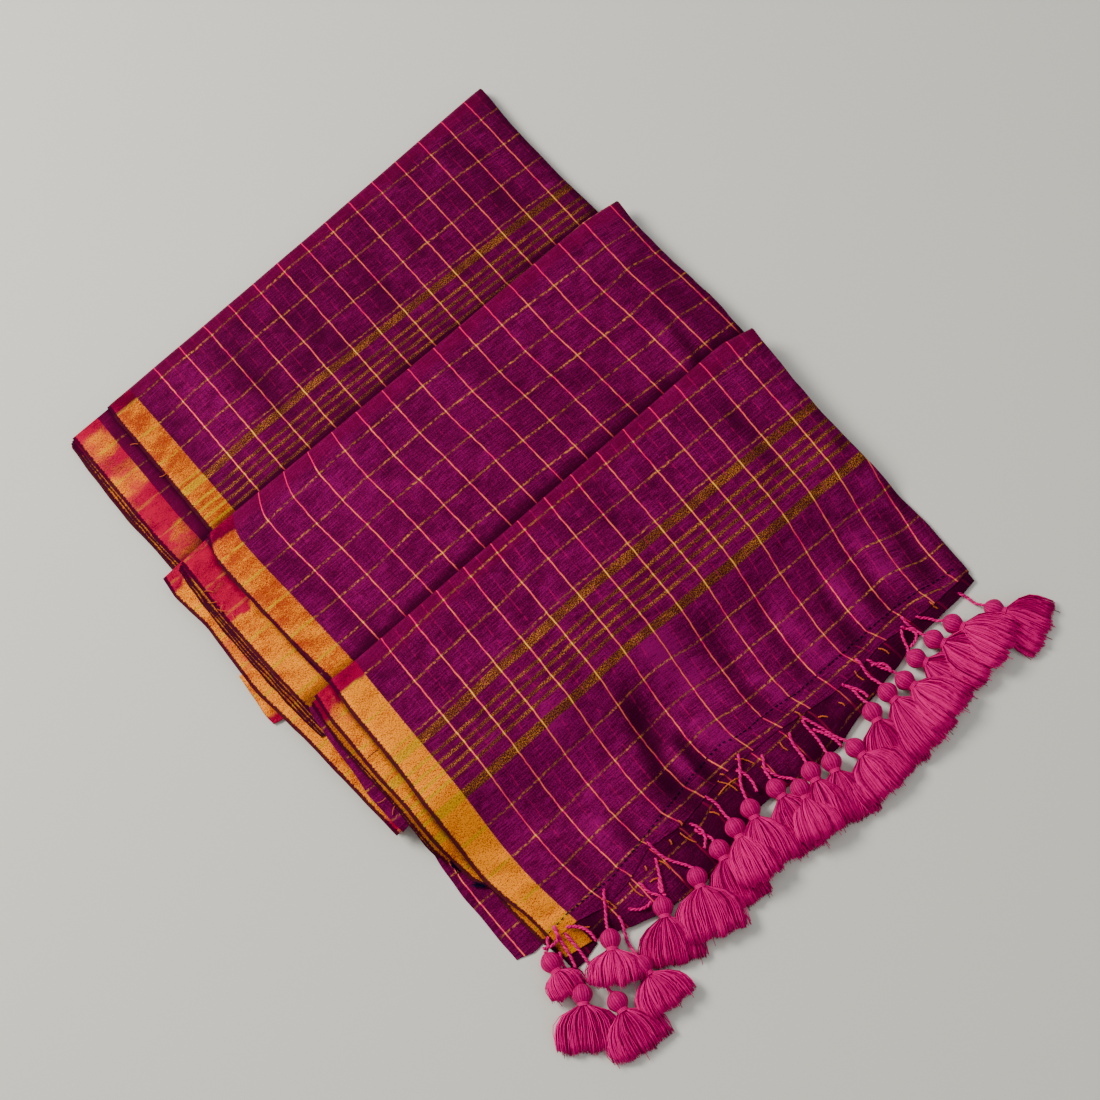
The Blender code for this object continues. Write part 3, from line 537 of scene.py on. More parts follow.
def cloth_object(name, points, quads, across, along, material, thickness, fields):
    """Points and faces as cloth: its UV map counts the cloth's own millimetres, and a thickness
    goes under its face."""
    mesh = bpy.data.meshes.new(name)
    mesh.from_pydata(to_world(points).reshape(-1, 3).tolist(), [], quads.tolist())
    place = np.stack([across, along], axis=-1).reshape(-1, 2) / UV_UNIT
    layer = mesh.uv_layers.new(name="cloth")
    loops = np.empty(len(mesh.loops), dtype=np.int64)
    mesh.loops.foreach_get("vertex_index", loops)
    layer.data.foreach_set("uv", place[loops].ravel().astype(np.float32))
    for label, values in fields.items():
        set_field(mesh, label, np.clip(values, -1.0, 1.0))
    made = linked(name, mesh, material)
    shell = made.modifiers.new("cloth thickness", "SOLIDIFY")
    shell.thickness = thickness * MM
    shell.offset = -1.0
    return made


def stations(length, step, fine=0.4, margin=3.0):
    """Places from 0 to length: fine near both ends and a step apart between."""
    ends = np.arange(0.0, margin, fine)
    count = max(int((length - 2.0 * margin) / step), 2)
    return np.concatenate([ends, np.linspace(margin, length - margin, count), length - ends[::-1]])


def run_length(a, b, axis):
    """How far a line of points has run at each point after its first."""
    steps = np.linalg.norm(np.diff(np.stack([a, b], -1), axis=axis), axis=-1)
    return np.cumsum(steps, axis=axis)


def cloth_panel(name, edges, end, fold, under, lift, warp, weft, material, step=2.0, roll=0.0,
                turn_down=0.0, foot=None, edge_droop=0.5, blush_depth=10.0, blush_rows=None,
                tone=0.0, frill=0.25, seed=1, end_droop=0.0):
    """A panel between its end line and its fold line, at a height of under(u, v) + lift. Its
    edges waver, its left edge droops, its right edge may roll under in a half circle, and its
    fold may turn down in a quarter circle and fall to its foot. The blush counts from the fold,
    or is read from its own rows, and the painted shading, painted shade below 0 and painted
    light above, is a number or a function of the place."""
    thickness = size("cloth_thickness")
    width = read(edges, 0.0, 2) - read(edges, 0.0, 1)
    length = float(read(fold, 0.0) - read(end, 0.0))
    across_at, along_at = stations(width - roll, step), stations(length - turn_down, step)
    rows, columns = len(along_at), len(across_at)
    s, t = np.meshgrid(across_at / across_at[-1], along_at / along_at[-1])
    u, v = np.zeros(s.shape), np.zeros(s.shape)
    for _ in range(6):
        left = smooth_read(edges, v) + frill * unevenness(v, 0.0, 17.0, seed)
        right = smooth_read(edges, v, 2) - roll + frill * unevenness(v, 0.0, 19.0, seed + 1)
        u = left + s * (right - left)
        near = smooth_read(end, u, 1, 3.0) + frill * unevenness(u, 0.0, 11.0, seed + 2)
        far = smooth_read(fold, u) - turn_down
        v = near + t * (far - near)
    z = under(u, v) + lift - edge_droop * bell(u - u[:, :1], 2.6)
    z = z - end_droop * bell(v - v[:1], 3.4)
    if roll:
        z = z - 0.5 * bell(u[:, -1:] - u, 5.0)
        turns = np.radians(np.linspace(18.0, 180.0, 10))
        u = np.concatenate([u, u[:, -1:] + roll * np.sin(turns)], axis=1)
        z = np.concatenate([z, z[:, -1:] - roll + roll * np.cos(turns)], axis=1)
        v = np.concatenate([v, np.repeat(v[:, -1:], len(turns), axis=1)], axis=1)
    if turn_down:
        turns = np.radians(np.linspace(15.0, 90.0, 6))[:, None]
        drop = np.linspace(0.25, 1.0, 5)[:, None]
        arc_v = v[-1:] + turn_down * np.sin(turns)
        arc_z = z[-1:] - turn_down + turn_down * np.cos(turns)
        low = foot(u[-1:], v[-1:] + turn_down)
        fall_z = arc_z[-1:] + (low - arc_z[-1:]) * drop
        fall_v = np.repeat(arc_v[-1:], len(drop), axis=0) + 0.3 * np.sin(drop * 2.5)
        u = np.concatenate([u, np.repeat(u[-1:], len(turns) + len(drop), axis=0)])
        v = np.concatenate([v, arc_v, fall_v])
        z = np.concatenate([z, arc_z, fall_z])
        z[rows:] = np.maximum(z[rows:], foot(u[rows:], v[rows:]))
    z = np.maximum(z, thickness + 0.1)
    flat_v = np.minimum(v, smooth_read(fold, u))
    across, along = warp(u, flat_v), weft(u, flat_v)
    if turn_down:
        along[rows:] = along[rows - 1] - run_length(v[rows - 1:], z[rows - 1:], 0)
    if roll:
        side = np.s_[:, columns - 1:]
        across[:, columns:] = across[:, columns - 1:columns] + run_length(u[side], z[side], 1)
    uneven = unevenness(u, v, 12.0, seed + 3)
    if blush_rows:
        blush = read(blush_rows, v + 3.0 * uneven) + 0.12 * uneven
    else:
        from_fold = smooth_read(fold, u) - v
        blush = 1.0 - ease((from_fold + 1.5 * uneven - blush_depth + 3.0) / 6.0)
    shade = tone(u, v) if callable(tone) else np.full(u.shape, tone)
    return cloth_object(name, np.stack([u, v, z], axis=-1), grid_quads(*u.shape), across, along,
                        material, thickness, {"blush": blush, "tone": shade})


def from_left(edges, offset=0.0):
    """A warp place counted straight from the panel's own left edge."""
    return lambda u, v: u - smooth_read(edges, v) + offset


def back_from(start):
    """A weft place counted back from a start."""
    return lambda u, v: start - v


# Shader nodes


class Graph:
    """Places shader nodes and joins them; most calls give back the new node's output."""

    def __init__(self, tree):
        self.tree = tree

    def node(self, kind, **values):
        made = self.tree.nodes.new("ShaderNode" + kind)
        for name, value in values.items():
            setattr(made, name, value)
        return made

    def join(self, sockets, *values):
        """Links each value to its socket, or sets it there if it is plain."""
        for socket, value in zip(sockets, values):
            if isinstance(value, bpy.types.NodeSocket):
                self.tree.links.new(value, socket)
            else:
                socket.default_value = value

    def put(self, made, **values):
        """The same by a socket's label, with _ for a space."""
        for label, value in values.items():
            self.join([made.inputs[label.replace("_", " ")]], value)
        return made

    def math(self, operation, *values, clamp=False):
        made = self.node("Math", operation=operation, use_clamp=clamp)
        self.join(made.inputs, *values)
        return made.outputs[0]

    def times(self, a, b, clamp=False):
        return self.math("MULTIPLY", a, b, clamp=clamp)

    def most(self, a, b):
        return self.math("MAXIMUM", a, b)

    def rest(self, value):
        """What is left of 1."""
        return self.math("SUBTRACT", 1.0, value)

    def line(self, value, slope, start, clamp=False):
        """value * slope + start."""
        return self.math("MULTIPLY_ADD", value, slope, start, clamp=clamp)

    def sway(self, noise, reach, start, clamp=False):
        """start, and how far a noise is from its middle, times reach."""
        return self.line(self.math("SUBTRACT", noise, 0.5), reach, start, clamp)

    def step(self, value, low, high):
        """A smooth step of value from low to high."""
        made = self.node("MapRange", interpolation_type="SMOOTHSTEP", clamp=True)
        return self.put(made, Value=value, From_Min=low, From_Max=high).outputs["Result"]

    def mix(self, share, a, b):
        made = self.node("Mix", data_type="RGBA")
        self.join([made.inputs[0], *made.inputs[6:8]], share, a, b)
        return made.outputs[2]

    def noise(self, vector, scale, detail=2.0, rough=0.5):
        made = self.node("TexNoise")
        return self.put(made, Vector=vector, Scale=scale, Detail=detail,
                        Roughness=rough).outputs[0]

    def yarn(self, place, stretch, scale, detail, rough):
        """Noise over the cloth's own place, drawn out by a factor each way."""
        combined = self.node("CombineXYZ")
        self.join(combined.inputs, *(self.times(at, by) for at, by in zip(place, stretch)))
        return self.noise(combined.outputs[0], scale, detail, rough)

    def near(self, value, period, offset, half):
        """1 on lines a period apart and 0 between them: the distance to the nearest line."""
        share = self.math("DIVIDE", self.math("SUBTRACT", value, offset), period)
        share = self.math("FRACT", self.math("ADD", share, 0.5))
        distance = self.math("ABSOLUTE", self.math("SUBTRACT", share, 0.5))
        return self.rest(self.step(self.times(distance, period), half * 0.55, half * 1.35))

    def within(self, value, low, high, soft=0.25):
        """1 between low and high."""
        rise = self.step(value, low - soft, low + soft)
        fall = self.step(value, high - soft, high + soft)
        return self.math("SUBTRACT", rise, fall, clamp=True)

    def bump(self, shader, height, strength, distance):
        """Gives a shader its surface from a height."""
        made = self.put(self.node("Bump"), Strength=strength, Distance=distance, Height=height)
        self.put(shader, Normal=made.outputs[0])


def rgb(red, green, blue):
    """A screen colour from 0 to 255 as linear light."""
    value = np.array([red, green, blue]) / 255.0
    linear = np.where(value <= 0.04045, value / 12.92, ((value + 0.055) / 1.055) ** 2.4)
    return (*[float(x) for x in linear], 1.0)


def group(name, inputs, outputs):
    """An empty node group of numbers, with its inputs' defaults."""
    tree = bpy.data.node_groups.new(name, "ShaderNodeTree")
    for label, value in inputs.items():
        socket = tree.interface.new_socket(label, in_out="INPUT", socket_type="NodeSocketFloat")
        socket.default_value = value
    for label in outputs:
        tree.interface.new_socket(label, in_out="OUTPUT", socket_type="NodeSocketFloat")
    given, out = tree.nodes.new("NodeGroupInput"), tree.nodes.new("NodeGroupOutput")
    return Graph(tree), given.outputs, out


def cloth_place_group():
    """Reads the cloth's own place in millimetres, the blush of its folds and its painted shading.
    """
    graph, _, out = group("Cloth place", {}, ("Across", "Along", "Blush", "Tone"))
    split = graph.node("SeparateXYZ")
    graph.join(split.inputs, graph.node("UVMap", uv_map="cloth").outputs[0])
    across, along = (graph.times(split.outputs[i], UV_UNIT) for i in (0, 1))
    blush, tone = (graph.node("Attribute", attribute_name=name).outputs["Fac"]
                   for name in ("blush", "tone"))
    graph.put(out, Across=across, Along=along, Blush=blush, Tone=tone)
    return graph.tree


def slub_and_sheen_group():
    """The ground cloth: uneven silk-cotton yarns both ways and large mottles of painted sheen,
    as a colour share and a height.
    """
    graph, given, out = group("Slubs and painted sheen", {"Across": 0.0, "Along": 0.0},
                              ("Light", "Height"))
    place = given["Across"], given["Along"]
    weft_yarn = graph.yarn(place, (0.10, 1.25), 1.0, 3.0, 0.6)
    warp_yarn = graph.yarn(place, (1.4, 0.12), 1.0, 3.0, 0.6)
    # cloud: large light and dark mottles, a painted sheen
    cloud = graph.yarn(place, (1.0, 1.0), 0.045, 3.0, 0.55)
    patch = graph.yarn(place, (0.5, 1.0), 0.14, 2.0, 0.6)
    grain = graph.yarn(place, (1.0, 1.0), 1.3, 2.0, 0.7)
    light = 0.44
    for noise, reach in ((weft_yarn, 1.7), (warp_yarn, 0.8), (cloud, 0.7), (patch, 0.55),
                         (grain, 2.0)):
        light = graph.sway(noise, reach, light)
    weave = graph.times(*(graph.math("SINE", graph.times(at, WEAVE_TURN)) for at in place))
    height = graph.line(weave, 0.12, graph.times(grain, 0.5))
    height = graph.line(warp_yarn, 0.5, graph.line(weft_yarn, 0.7, height))
    graph.put(out, Light=light, Height=height)
    return graph.tree


def zari_group():
    """Where the gold thread lies: warp lines, weft lines, bands, the border and its selvedge,
    and the noises that break them up."""
    graph, given, out = group("Gold thread", {"Across": 0.0, "Along": 0.0, "Ghost": 0.3}, (
        "Warp", "Core", "Weft", "Band", "Border", "Selvedge", "Ghost", "Tick", "Grain", "Mottle",
        "Dash", "Fine"))
    across, along = place = given["Across"], given["Along"]
    warp_pitch, weft_pitch = size("warp_pitch"), size("weft_pitch")
    border_width = size("border_width")
    waver = graph.sway(graph.yarn(place, (1.0, 1.0), 0.16, 2.0, 0.5), 1.1, 0.0)
    across_w, along_w = (graph.math("ADD", at, waver) for at in place)
    beyond = graph.step(across, *BEFORE_LINES)
    warp, core = (graph.times(graph.near(across_w, warp_pitch, FIRST_LINE, half), beyond)
                  for half in (0.62, 0.30))
    broken = graph.step(graph.yarn(place, (1.0, 0.8), 0.35, 3.0, 0.7), 0.40, 0.62)
    ghost = graph.times(graph.near(across_w, warp_pitch, FIRST_LINE + GHOST_OFFSET, 0.42), broken)
    ghost = graph.times(graph.times(ghost, given["Ghost"]), beyond)
    after = graph.step(along, 19.9, 20.1)
    shifted = graph.line(after, -CHECK_AGAIN, along_w)
    open_field = graph.math("ADD", graph.rest(graph.step(along, *CHECK_STOPS)),
                            graph.step(along, *CHECK_STARTS), clamp=True)
    lines, tick = (graph.times(graph.near(shifted, weft_pitch, 0.0, half), open_field)
                   for half in (0.56, 0.95))
    thin = graph.yarn(place, (0.25, 1.0), 0.3, 2.0, 0.6)
    tick = graph.times(tick, graph.step(thin, 0.34, 0.5))
    bands = graph.math("ADD", graph.within(along_w, *BAND_FIRST),
                       graph.within(along_w, *BAND_LAST), clamp=True)
    stripes = graph.times(graph.near(along_w, STRIPE_PITCH, STRIPE_FIRST, 1.05),
                          graph.within(along, *STRIPES))
    ragged = graph.yarn(place, (0.6, 1.0), 0.7, 3.0, 0.75)
    selvedge = graph.rest(graph.step(graph.line(ragged, -3.0, across), 0.3, 0.8))
    graph.put(
        out, Warp=warp, Core=core, Weft=lines, Band=graph.most(bands, stripes),
        Border=graph.rest(graph.step(across, border_width - 0.2, border_width + 0.2)),
        Selvedge=selvedge, Ghost=ghost, Tick=tick,
        Grain=graph.yarn(place, (1.5, 0.9), 1.25, 2.0, 0.75),
        Mottle=graph.yarn(place, (0.5, 1.0), 0.10, 3.0, 0.6),
        Dash=graph.yarn(place, (0.5, 0.75), 1.0, 3.0, 0.8),
        Fine=graph.yarn(place, (1.0, 1.0), 2.1, 2.0, 0.6))
    return graph.tree


def new_material(name):
    """A material's graph and its shader."""
    made = bpy.data.materials.new(name)
    made.use_nodes = True
    return made, Graph(made.node_tree), made.node_tree.nodes["Principled BSDF"]


def cloth_material(name, groups, look, ghost, gilt, crimson, fade):
    """The saree's cloth: purple ground, gold thread where it lies, crimson beside the folds,
    and painted shade and light from the painted shading field. ghost is the strength of the
    faint lines, gilt the border's share of bright gold, crimson the dark and bright red of a
    fold, and fade hides the gold lines where the cloth is in painted shade."""
    made, graph, shader = new_material(name)
    times, line, step, mix = graph.times, graph.line, graph.step, graph.mix

    def placed(tree, **values):
        return graph.put(graph.node("Group", node_tree=tree), **values).outputs

    place = placed(groups["place"])
    across, along, blush, tone = (place[label] for label in ("Across", "Along", "Blush", "Tone"))
    ground = placed(groups["slub_and_sheen"], Across=across, Along=along)
    zari = placed(groups["zari"], Across=across, Along=along, Ghost=ghost)
    grain, mottle, dash = zari["Grain"], zari["Mottle"], zari["Dash"]
    band, selvedge = zari["Band"], zari["Selvedge"]

    # Painted light raises the ground's share of its light colour, painted shade lowers it
    light = line(tone, 0.5, ground["Light"], clamp=True)
    body = mix(step(light, 0.0, 0.5), look.body_dark, look.body)
    body = mix(step(light, 0.4, 1.0), body, look.body_light)
    body = mix(times(blush, 0.4), body, SHADES["crimson body"])

    speckle = line(dash, 0.45, line(zari["Fine"], 0.5, grain))
    gold_share = step(line(mottle, 0.8, speckle), 1.20 - gilt, 1.58 - gilt)
    border = mix(gold_share, look.rust, look.gold)
    border = mix(times(graph.rest(step(speckle, 0.82, 0.98)), 0.8), border, SHADES["speck"])
    red_share = step(line(mottle, 0.9, blush), 0.78, 1.26)
    border = mix(red_share, border, mix(gold_share, *crimson))
    yellow = mix(step(speckle, 0.84, 1.04), SHADES["dark yellow"], look.yellow)
    tick = graph.most(times(zari["Tick"], 0.9), band)
    border = mix(times(tick, line(red_share, -0.6, 0.92)), border, yellow)

    thread = mix(step(mottle, 0.42, 0.66), look.olive, SHADES["bright thread"])
    olive = mix(step(grain, 0.46, 0.64), SHADES["dark thread"], thread)
    cloth = mix(times(band, 0.92), body, olive)
    broken = step(dash, 0.42, 0.60)
    weft = mix(broken, SHADES["dark weft"], thread)
    cloth = mix(times(zari["Weft"], line(broken, 0.45, 0.45)), cloth, weft)
    cloth = mix(zari["Ghost"], cloth, SHADES["faint line"])
    knot = graph.most(band, zari["Weft"])
    fringe = mix(times(knot, 0.6), SHADES["beside a line"], SHADES["beside a knot"])
    cloth = mix(times(zari["Warp"], 0.85), cloth, fringe)
    warm = step(line(blush, -0.5, mottle), 0.36, 0.62)
    gold_line = mix(warm, SHADES["pink line"], SHADES["peach line"])
    in_bands = graph.within(along, -6.0, 52.0, 6.0)
    gold_line = mix(times(in_bands, 0.4), gold_line, SHADES["line in the bands"])
    gold_line = mix(times(knot, 0.85), gold_line, SHADES["knot"])
    shown = line(step(line(mottle, 0.5, grain), 0.38, 0.66), 0.66, 0.3)
    shown = times(zari["Core"], shown)
    shown = times(shown, graph.rest(step(times(tone, -fade), 0.2, 0.6)))
    colour = mix(zari["Border"], mix(shown, cloth, gold_line), border)
    colour = mix(times(selvedge, 0.96), colour, SHADES["selvedge"])
    # Painted shade: the colour goes towards deep shade where the painted shading is below 0
    colour = mix(times(tone, -0.9, clamp=True), colour, SHADES["deep shade"])

    metal = graph.most(graph.most(zari["Core"], band), zari["Border"])
    metal = times(times(metal, graph.rest(selvedge)), line(red_share, -0.6, 1.0))
    golden = times(zari["Border"], graph.rest(graph.most(selvedge, red_share)))
    graph.put(shader, Base_Color=colour, Metallic=times(metal, 0.45),
              Roughness=line(metal, -0.12, 0.58), Sheen_Weight=0.05, Sheen_Roughness=0.4,
              Sheen_Tint=(1.0, 0.0, 0.5, 1.0), Specular_IOR_Level=0.2,
              Specular_Tint=mix(golden, (1.0, 0.0, 0.35, 1.0), (1.0, 0.4, 0.06, 1.0)))
    height = line(grain, 0.5, line(metal, 0.25, ground["Height"]))
    graph.bump(shader, height, 0.7, 0.00025)
    return made


def thread_material(name, dark, bright, roughness=0.5):
    """Spun thread: its colour runs from dark to bright with the share in its blush field, the
    thread's own shade and, on the tassels, painted shade and light.
    """
    made, graph, shader = new_material(name)
    thread_shade = graph.node("Attribute", attribute_name="blush").outputs["Fac"]
    fibre = graph.noise(graph.node("TexCoord").outputs["Object"], 900.0, 2.0, 0.6)
    share = graph.sway(fibre, 0.6, thread_shade, clamp=True)
    graph.put(shader, Base_Color=graph.mix(share, dark, bright), Roughness=roughness,
              Specular_IOR_Level=0.25, Specular_Tint=bright)
    graph.bump(shader, fibre, 0.4, 0.0001)
    return made


SHADES = {                            # the finishes' fixed colours
    "crimson body": rgb(110, 0, 48), "speck": rgb(112, 26, 12), "dark yellow": rgb(148, 86, 0),
    "bright thread": rgb(226, 142, 44), "dark thread": rgb(56, 8, 20),
    "dark weft": rgb(62, 8, 20), "faint line": rgb(206, 16, 96),
    "beside a line": rgb(150, 0, 62), "beside a knot": rgb(180, 96, 12),
    "pink line": rgb(232, 30, 92), "peach line": rgb(255, 132, 74),
    "line in the bands": rgb(255, 160, 40), "knot": rgb(255, 206, 60),
    "selvedge": rgb(46, 0, 24), "deep shade": rgb(26, 0, 16),
}
CRIMSON_FOLD = rgb(80, 0, 26), rgb(146, 0, 50)
PINK_FOLD = rgb(112, 0, 34), rgb(180, 4, 50)
CLOTHS = (                            # name, ghost, gilt, crimson, fade
    ("front cloth", 0.3, 0.14, CRIMSON_FOLD, 0.0), ("middle cloth", 0.1, -0.06, CRIMSON_FOLD, 0.0),
    ("back cloth", 0.22, -0.06, CRIMSON_FOLD, 0.0), ("under cloth", 0.08, 0.06, PINK_FOLD, 1.0),
)
MATERIALS = {}


def size(name):
    """One of the sizes set in the panel, in millimetres."""
    return getattr(bpy.context.scene.saree_look, name) / MM


def finish(name):
    """One of the saree's finishes; all are made the first time that one is asked for."""
    if not MATERIALS:
        look = bpy.context.scene.saree_look
        groups = {"place": cloth_place_group(), "slub_and_sheen": slub_and_sheen_group(), "zari": zari_group()}
        for cloth, *how in CLOTHS:
            MATERIALS[cloth] = cloth_material(cloth, groups, look, *how)
        for thread, *how in (("tassel thread", rgb(90, 0, 36), look.tassel),
                             ("gold thread", rgb(112, 22, 26), rgb(214, 106, 46)),
                             ("navy thread", rgb(8, 5, 20), rgb(26, 14, 50), 0.7)):
            MATERIALS[thread] = thread_material(thread, *how)
    return MATERIALS[name]


def tubes(paths, radius, sides, shade):
    """Round tubes along many paths at once, as arrays: paths is (count, steps, 3), shade one
    number for each path or for each of its steps. Each ring stands across the path's own
    direction."""
    count, steps = paths.shape[:2]
    along = np.gradient(paths, axis=1)
    along /= np.linalg.norm(along, axis=-1, keepdims=True) + 1e-9
    up = np.zeros_like(along)
    up[..., 2] = 1.0
    up[np.abs(along[..., 2]) > 0.9] = (1.0, 0.0, 0.0)
    side = np.cross(along, up)
    side /= np.linalg.norm(side, axis=-1, keepdims=True) + 1e-9
    top = np.cross(side, along)
    turns = 2.0 * math.pi * np.arange(sides) / sides
    radius = np.broadcast_to(np.asarray(radius, float), (count, steps))[..., None, None]
    ring = (side[:, :, None] * np.cos(turns)[:, None] + top[:, :, None] * np.sin(turns)[:, None])
    points = (paths[:, :, None] + ring * radius).reshape(-1, 3)
    index = np.arange(count * steps * sides).reshape(count, steps, sides)
    ahead = np.roll(index, -1, axis=2)
    quads = np.stack([index[:, :-1], index[:, 1:], ahead[:, 1:], ahead[:, :-1]], axis=-1)
    caps = [*index[:, 0].tolist(), *index[:, -1, ::-1].tolist()]
    shade = np.asarray(shade, float).reshape(count, -1)
    shades = np.repeat(np.broadcast_to(shade, (count, steps)).ravel(), sides)
    return points, quads.reshape(-1, 4).tolist() + caps, shades


def surface(points, shade):
    """A closed-round grid of points, (rows, columns, 3), as points, faces and shades."""
    rows, columns = points.shape[:2]
    index = np.arange(rows * columns).reshape(rows, columns)
    ahead = np.roll(index, -1, axis=1)
    quads = np.stack([index[:-1], ahead[:-1], ahead[1:], index[1:]], axis=-1).reshape(-1, 4)
    faces = quads.tolist() + [index[0, ::-1].tolist(), index[-1].tolist()]
    return points.reshape(-1, 3), faces, np.broadcast_to(shade, (rows, columns)).ravel()


def joined(name, parts, finish_name):
    """Several sets of points, faces and shades as one object."""
    points, faces, shades, first = [], [], [], 0
    for part_points, part_faces, part_shades in parts:
        points.append(part_points)
        faces += [[i + first for i in face] for face in part_faces]
        shades.append(part_shades)
        first += len(part_points)
    mesh = bpy.data.meshes.new(name)
    mesh.from_pydata(to_world(np.concatenate(points)).tolist(), [], faces)
    # On tassels the shades hold painted shade and light besides each thread's own shade
    set_field(mesh, "blush", np.concatenate(shades))
    return linked(name, mesh, finish(finish_name))


def headings(lean):
    """The way a tassel points and the way across it, for its lean from straight ahead."""
    sin, cos = math.sin(math.radians(lean)), math.cos(math.radians(lean))
    return np.array([sin, -cos, 0.0]), np.array([cos, sin, 0.0])


def skirt_places(row, x0, z0, t, run, widening):
    """Where the skirt's threads run: x0 and z0 place each in the neck's disc, t runs from the
    neck to the tips, run is its length, and widening is how soon the skirt is at full width."""
    u, v, lean, _, spread, level = row[:6]
    forward, side = headings(lean)
    full = 5.5 + 1.16 * spread
    out = x0 * (NECK_WIDTH + (full - NECK_WIDTH) * (1.0 - (1.0 - t) ** widening))
    neck_at = size("head_radius") + 0.7
    ahead = neck_at + (run - neck_at) * t
    low = LEVELS[level] + size("thread_radius")
    rest = low + (6.4 - 2.2 * t) * (0.5 + 0.5 * z0)
    start = HEAD_HEIGHT + 2.7 * z0
    swell = 1.3 * np.sin(math.pi * np.clip(t * 1.2, 0.0, 1.0)) * (0.4 + 0.6 * z0)
    z = np.maximum(start + (rest - start) * ease(t * 1.25) + swell, low)
    return (np.array([u, v, 0.0]) + ahead[..., None] * forward + out[..., None] * side
            + z[..., None] * UP)


def skirt(row, seed):
    """A tassel's threads: each leaves the neck inside a small disc, swells out and comes down to
    lie on what is under it, and ends a little sooner or later than its neighbours. A rounded
    core, dark as painted shade inside the skirt, fills the middle, and a few threads stray."""
    random = np.random.default_rng(seed)
    length, level = row[3], row[5]
    widening = random.uniform(2.8, 5.4)
    count = THREADS_PER_TASSEL
    angle = random.uniform(0.0, 2.0 * math.pi, count)
    reach = random.uniform(0.0, 1.0, count) ** 0.36
    x0, z0 = (reach * np.cos(angle))[:, None], (reach * np.sin(angle))[:, None]
    t = np.linspace(0.0, 1.0, THREAD_STEPS)[None, :]
    lock = np.round(x0 * 9.0) / 9.0
    gather = 0.24 * (lock - x0) * np.sin(math.pi * np.clip(t, 0.0, 0.9))
    waver = random.normal(0.0, 0.035, (count, 1)) * np.sin(t * random.uniform(2, 7, (count, 1)))
    run = length + random.normal(0.0, 0.6, (count, 1)) - 2.6 * x0 ** 2 + 0.6 * np.sin(9.0 * lock)
    stray = random.uniform(0.0, 1.0, (count, 1)) > 0.99
    run = run + stray * random.uniform(1.0, 5.0, (count, 1))
    paths = skirt_places(row, x0 + gather + waver, z0, t, run, widening)
    # Each thread's shade is random, with painted shade near the neck, on the lower and right-hand
    # threads and on tassels that lie lower, and painted light on those lying higher
    shade = random.normal(0.66, 0.3, (count, 1)) + 0.25 * z0 + 0.1 * (level - 1)
    shade = shade + 0.12 * np.sin(14.0 * lock) - 0.4 * (1.0 - t) ** 3 - 0.12 * x0
    radius = size("thread_radius") * (1.0 - 0.3 * t ** 4)
    threads = tubes(paths, radius, THREAD_SIDES, np.clip(shade, 0.0, 1.0))
    turns = 2.0 * math.pi * np.arange(CORE_SIDES)[None, :] / CORE_SIDES
    x0 = 0.9 * np.cos(turns)
    core = skirt_places(row, x0, 0.72 * np.sin(turns), np.linspace(0.0, 0.93, CORE_RINGS)[:, None],
                        length - 1.6 - 2.6 * x0 ** 2, widening)
    return [threads, surface(core, 0.3)]


def head_and_neck(u, v, lean, seed):
    """A ball of lengthwise threads that narrows to a wrapped neck. Its ring radius follows
    sin(pi t) with fine grooves, and the neck swells once for each turn of its wrapping."""
    random = np.random.default_rng(seed)
    forward, side = headings(lean)
    centre = np.array([u, v, HEAD_HEIGHT])
    radius = size("head_radius")
    turns = 2.0 * math.pi * np.arange(HEAD_SIDES)[None, :] / HEAD_SIDES
    t = np.linspace(0.03, 0.9, HEAD_RINGS)[:, None]
    wave = random.uniform(0.0, 6.0)
    strand = 0.5 + 0.5 * np.sin(22.0 * turns + 2.2 * t + 0.9 * np.sin(3 * turns + wave))
    strand = strand * (0.75 + 0.25 * np.sin(7.0 * turns + wave))
    profile = np.sin(math.pi * t ** 0.92) ** 0.66 * (1.0 - 0.07 * (1.0 - strand))
    ahead = radius * (-1.12 + 2.4 * t)
    ring = (1.1 * radius * np.cos(turns)[..., None] * side
            + 0.98 * radius * np.sin(turns)[..., None] * UP)
    ball = centre + ahead[..., None] * forward + profile[..., None] * ring
    s = np.linspace(0.0, 1.0, 19)[:, None]
    wrap = np.abs(np.sin(3.0 * math.pi * s))
    neck_at = radius * (0.82 + 0.42 * s)
    small = turns[:, ::4, None]
    neck = (centre + neck_at[..., None] * forward
            + (NECK_RADIUS + 0.45 * wrap)[..., None] * (np.cos(small) * side + np.sin(small) * UP))
    # The ball is darker in the grooves between its strands and the neck between the turns of its
    # wrapping: the strands' own streaks and painted shade in the hollows
    return [surface(ball, np.clip(0.2 + 0.55 * strand, 0.2, 1.0)),
            surface(neck, 0.5 + 0.4 * wrap)]


def top_surface(u, v):
    """The height of what a thread at (u, v) lies on: the top panel, the second one or nothing."""
    support = front_support(u, v)
    on_top = v > smooth_read(TOP_HEM, u, 1, 3.0) - 0.3
    on_second = v > smooth_read(SECOND_HEM, u, 1, 3.0) - 0.3
    return np.where(on_top, support + TOP_TOP, np.where(on_second, support + SECOND_TOP, 0.6))


def curve_through(places, steps):
    """A smooth curve through three places: a parabola in each coordinate."""
    t = np.linspace(0.0, 1.0, steps)[:, None]
    first, middle, last = places
    return first * (1 - t) * (1 - 2 * t) + middle * 4 * t * (1 - t) + last * t * (2 * t - 1)


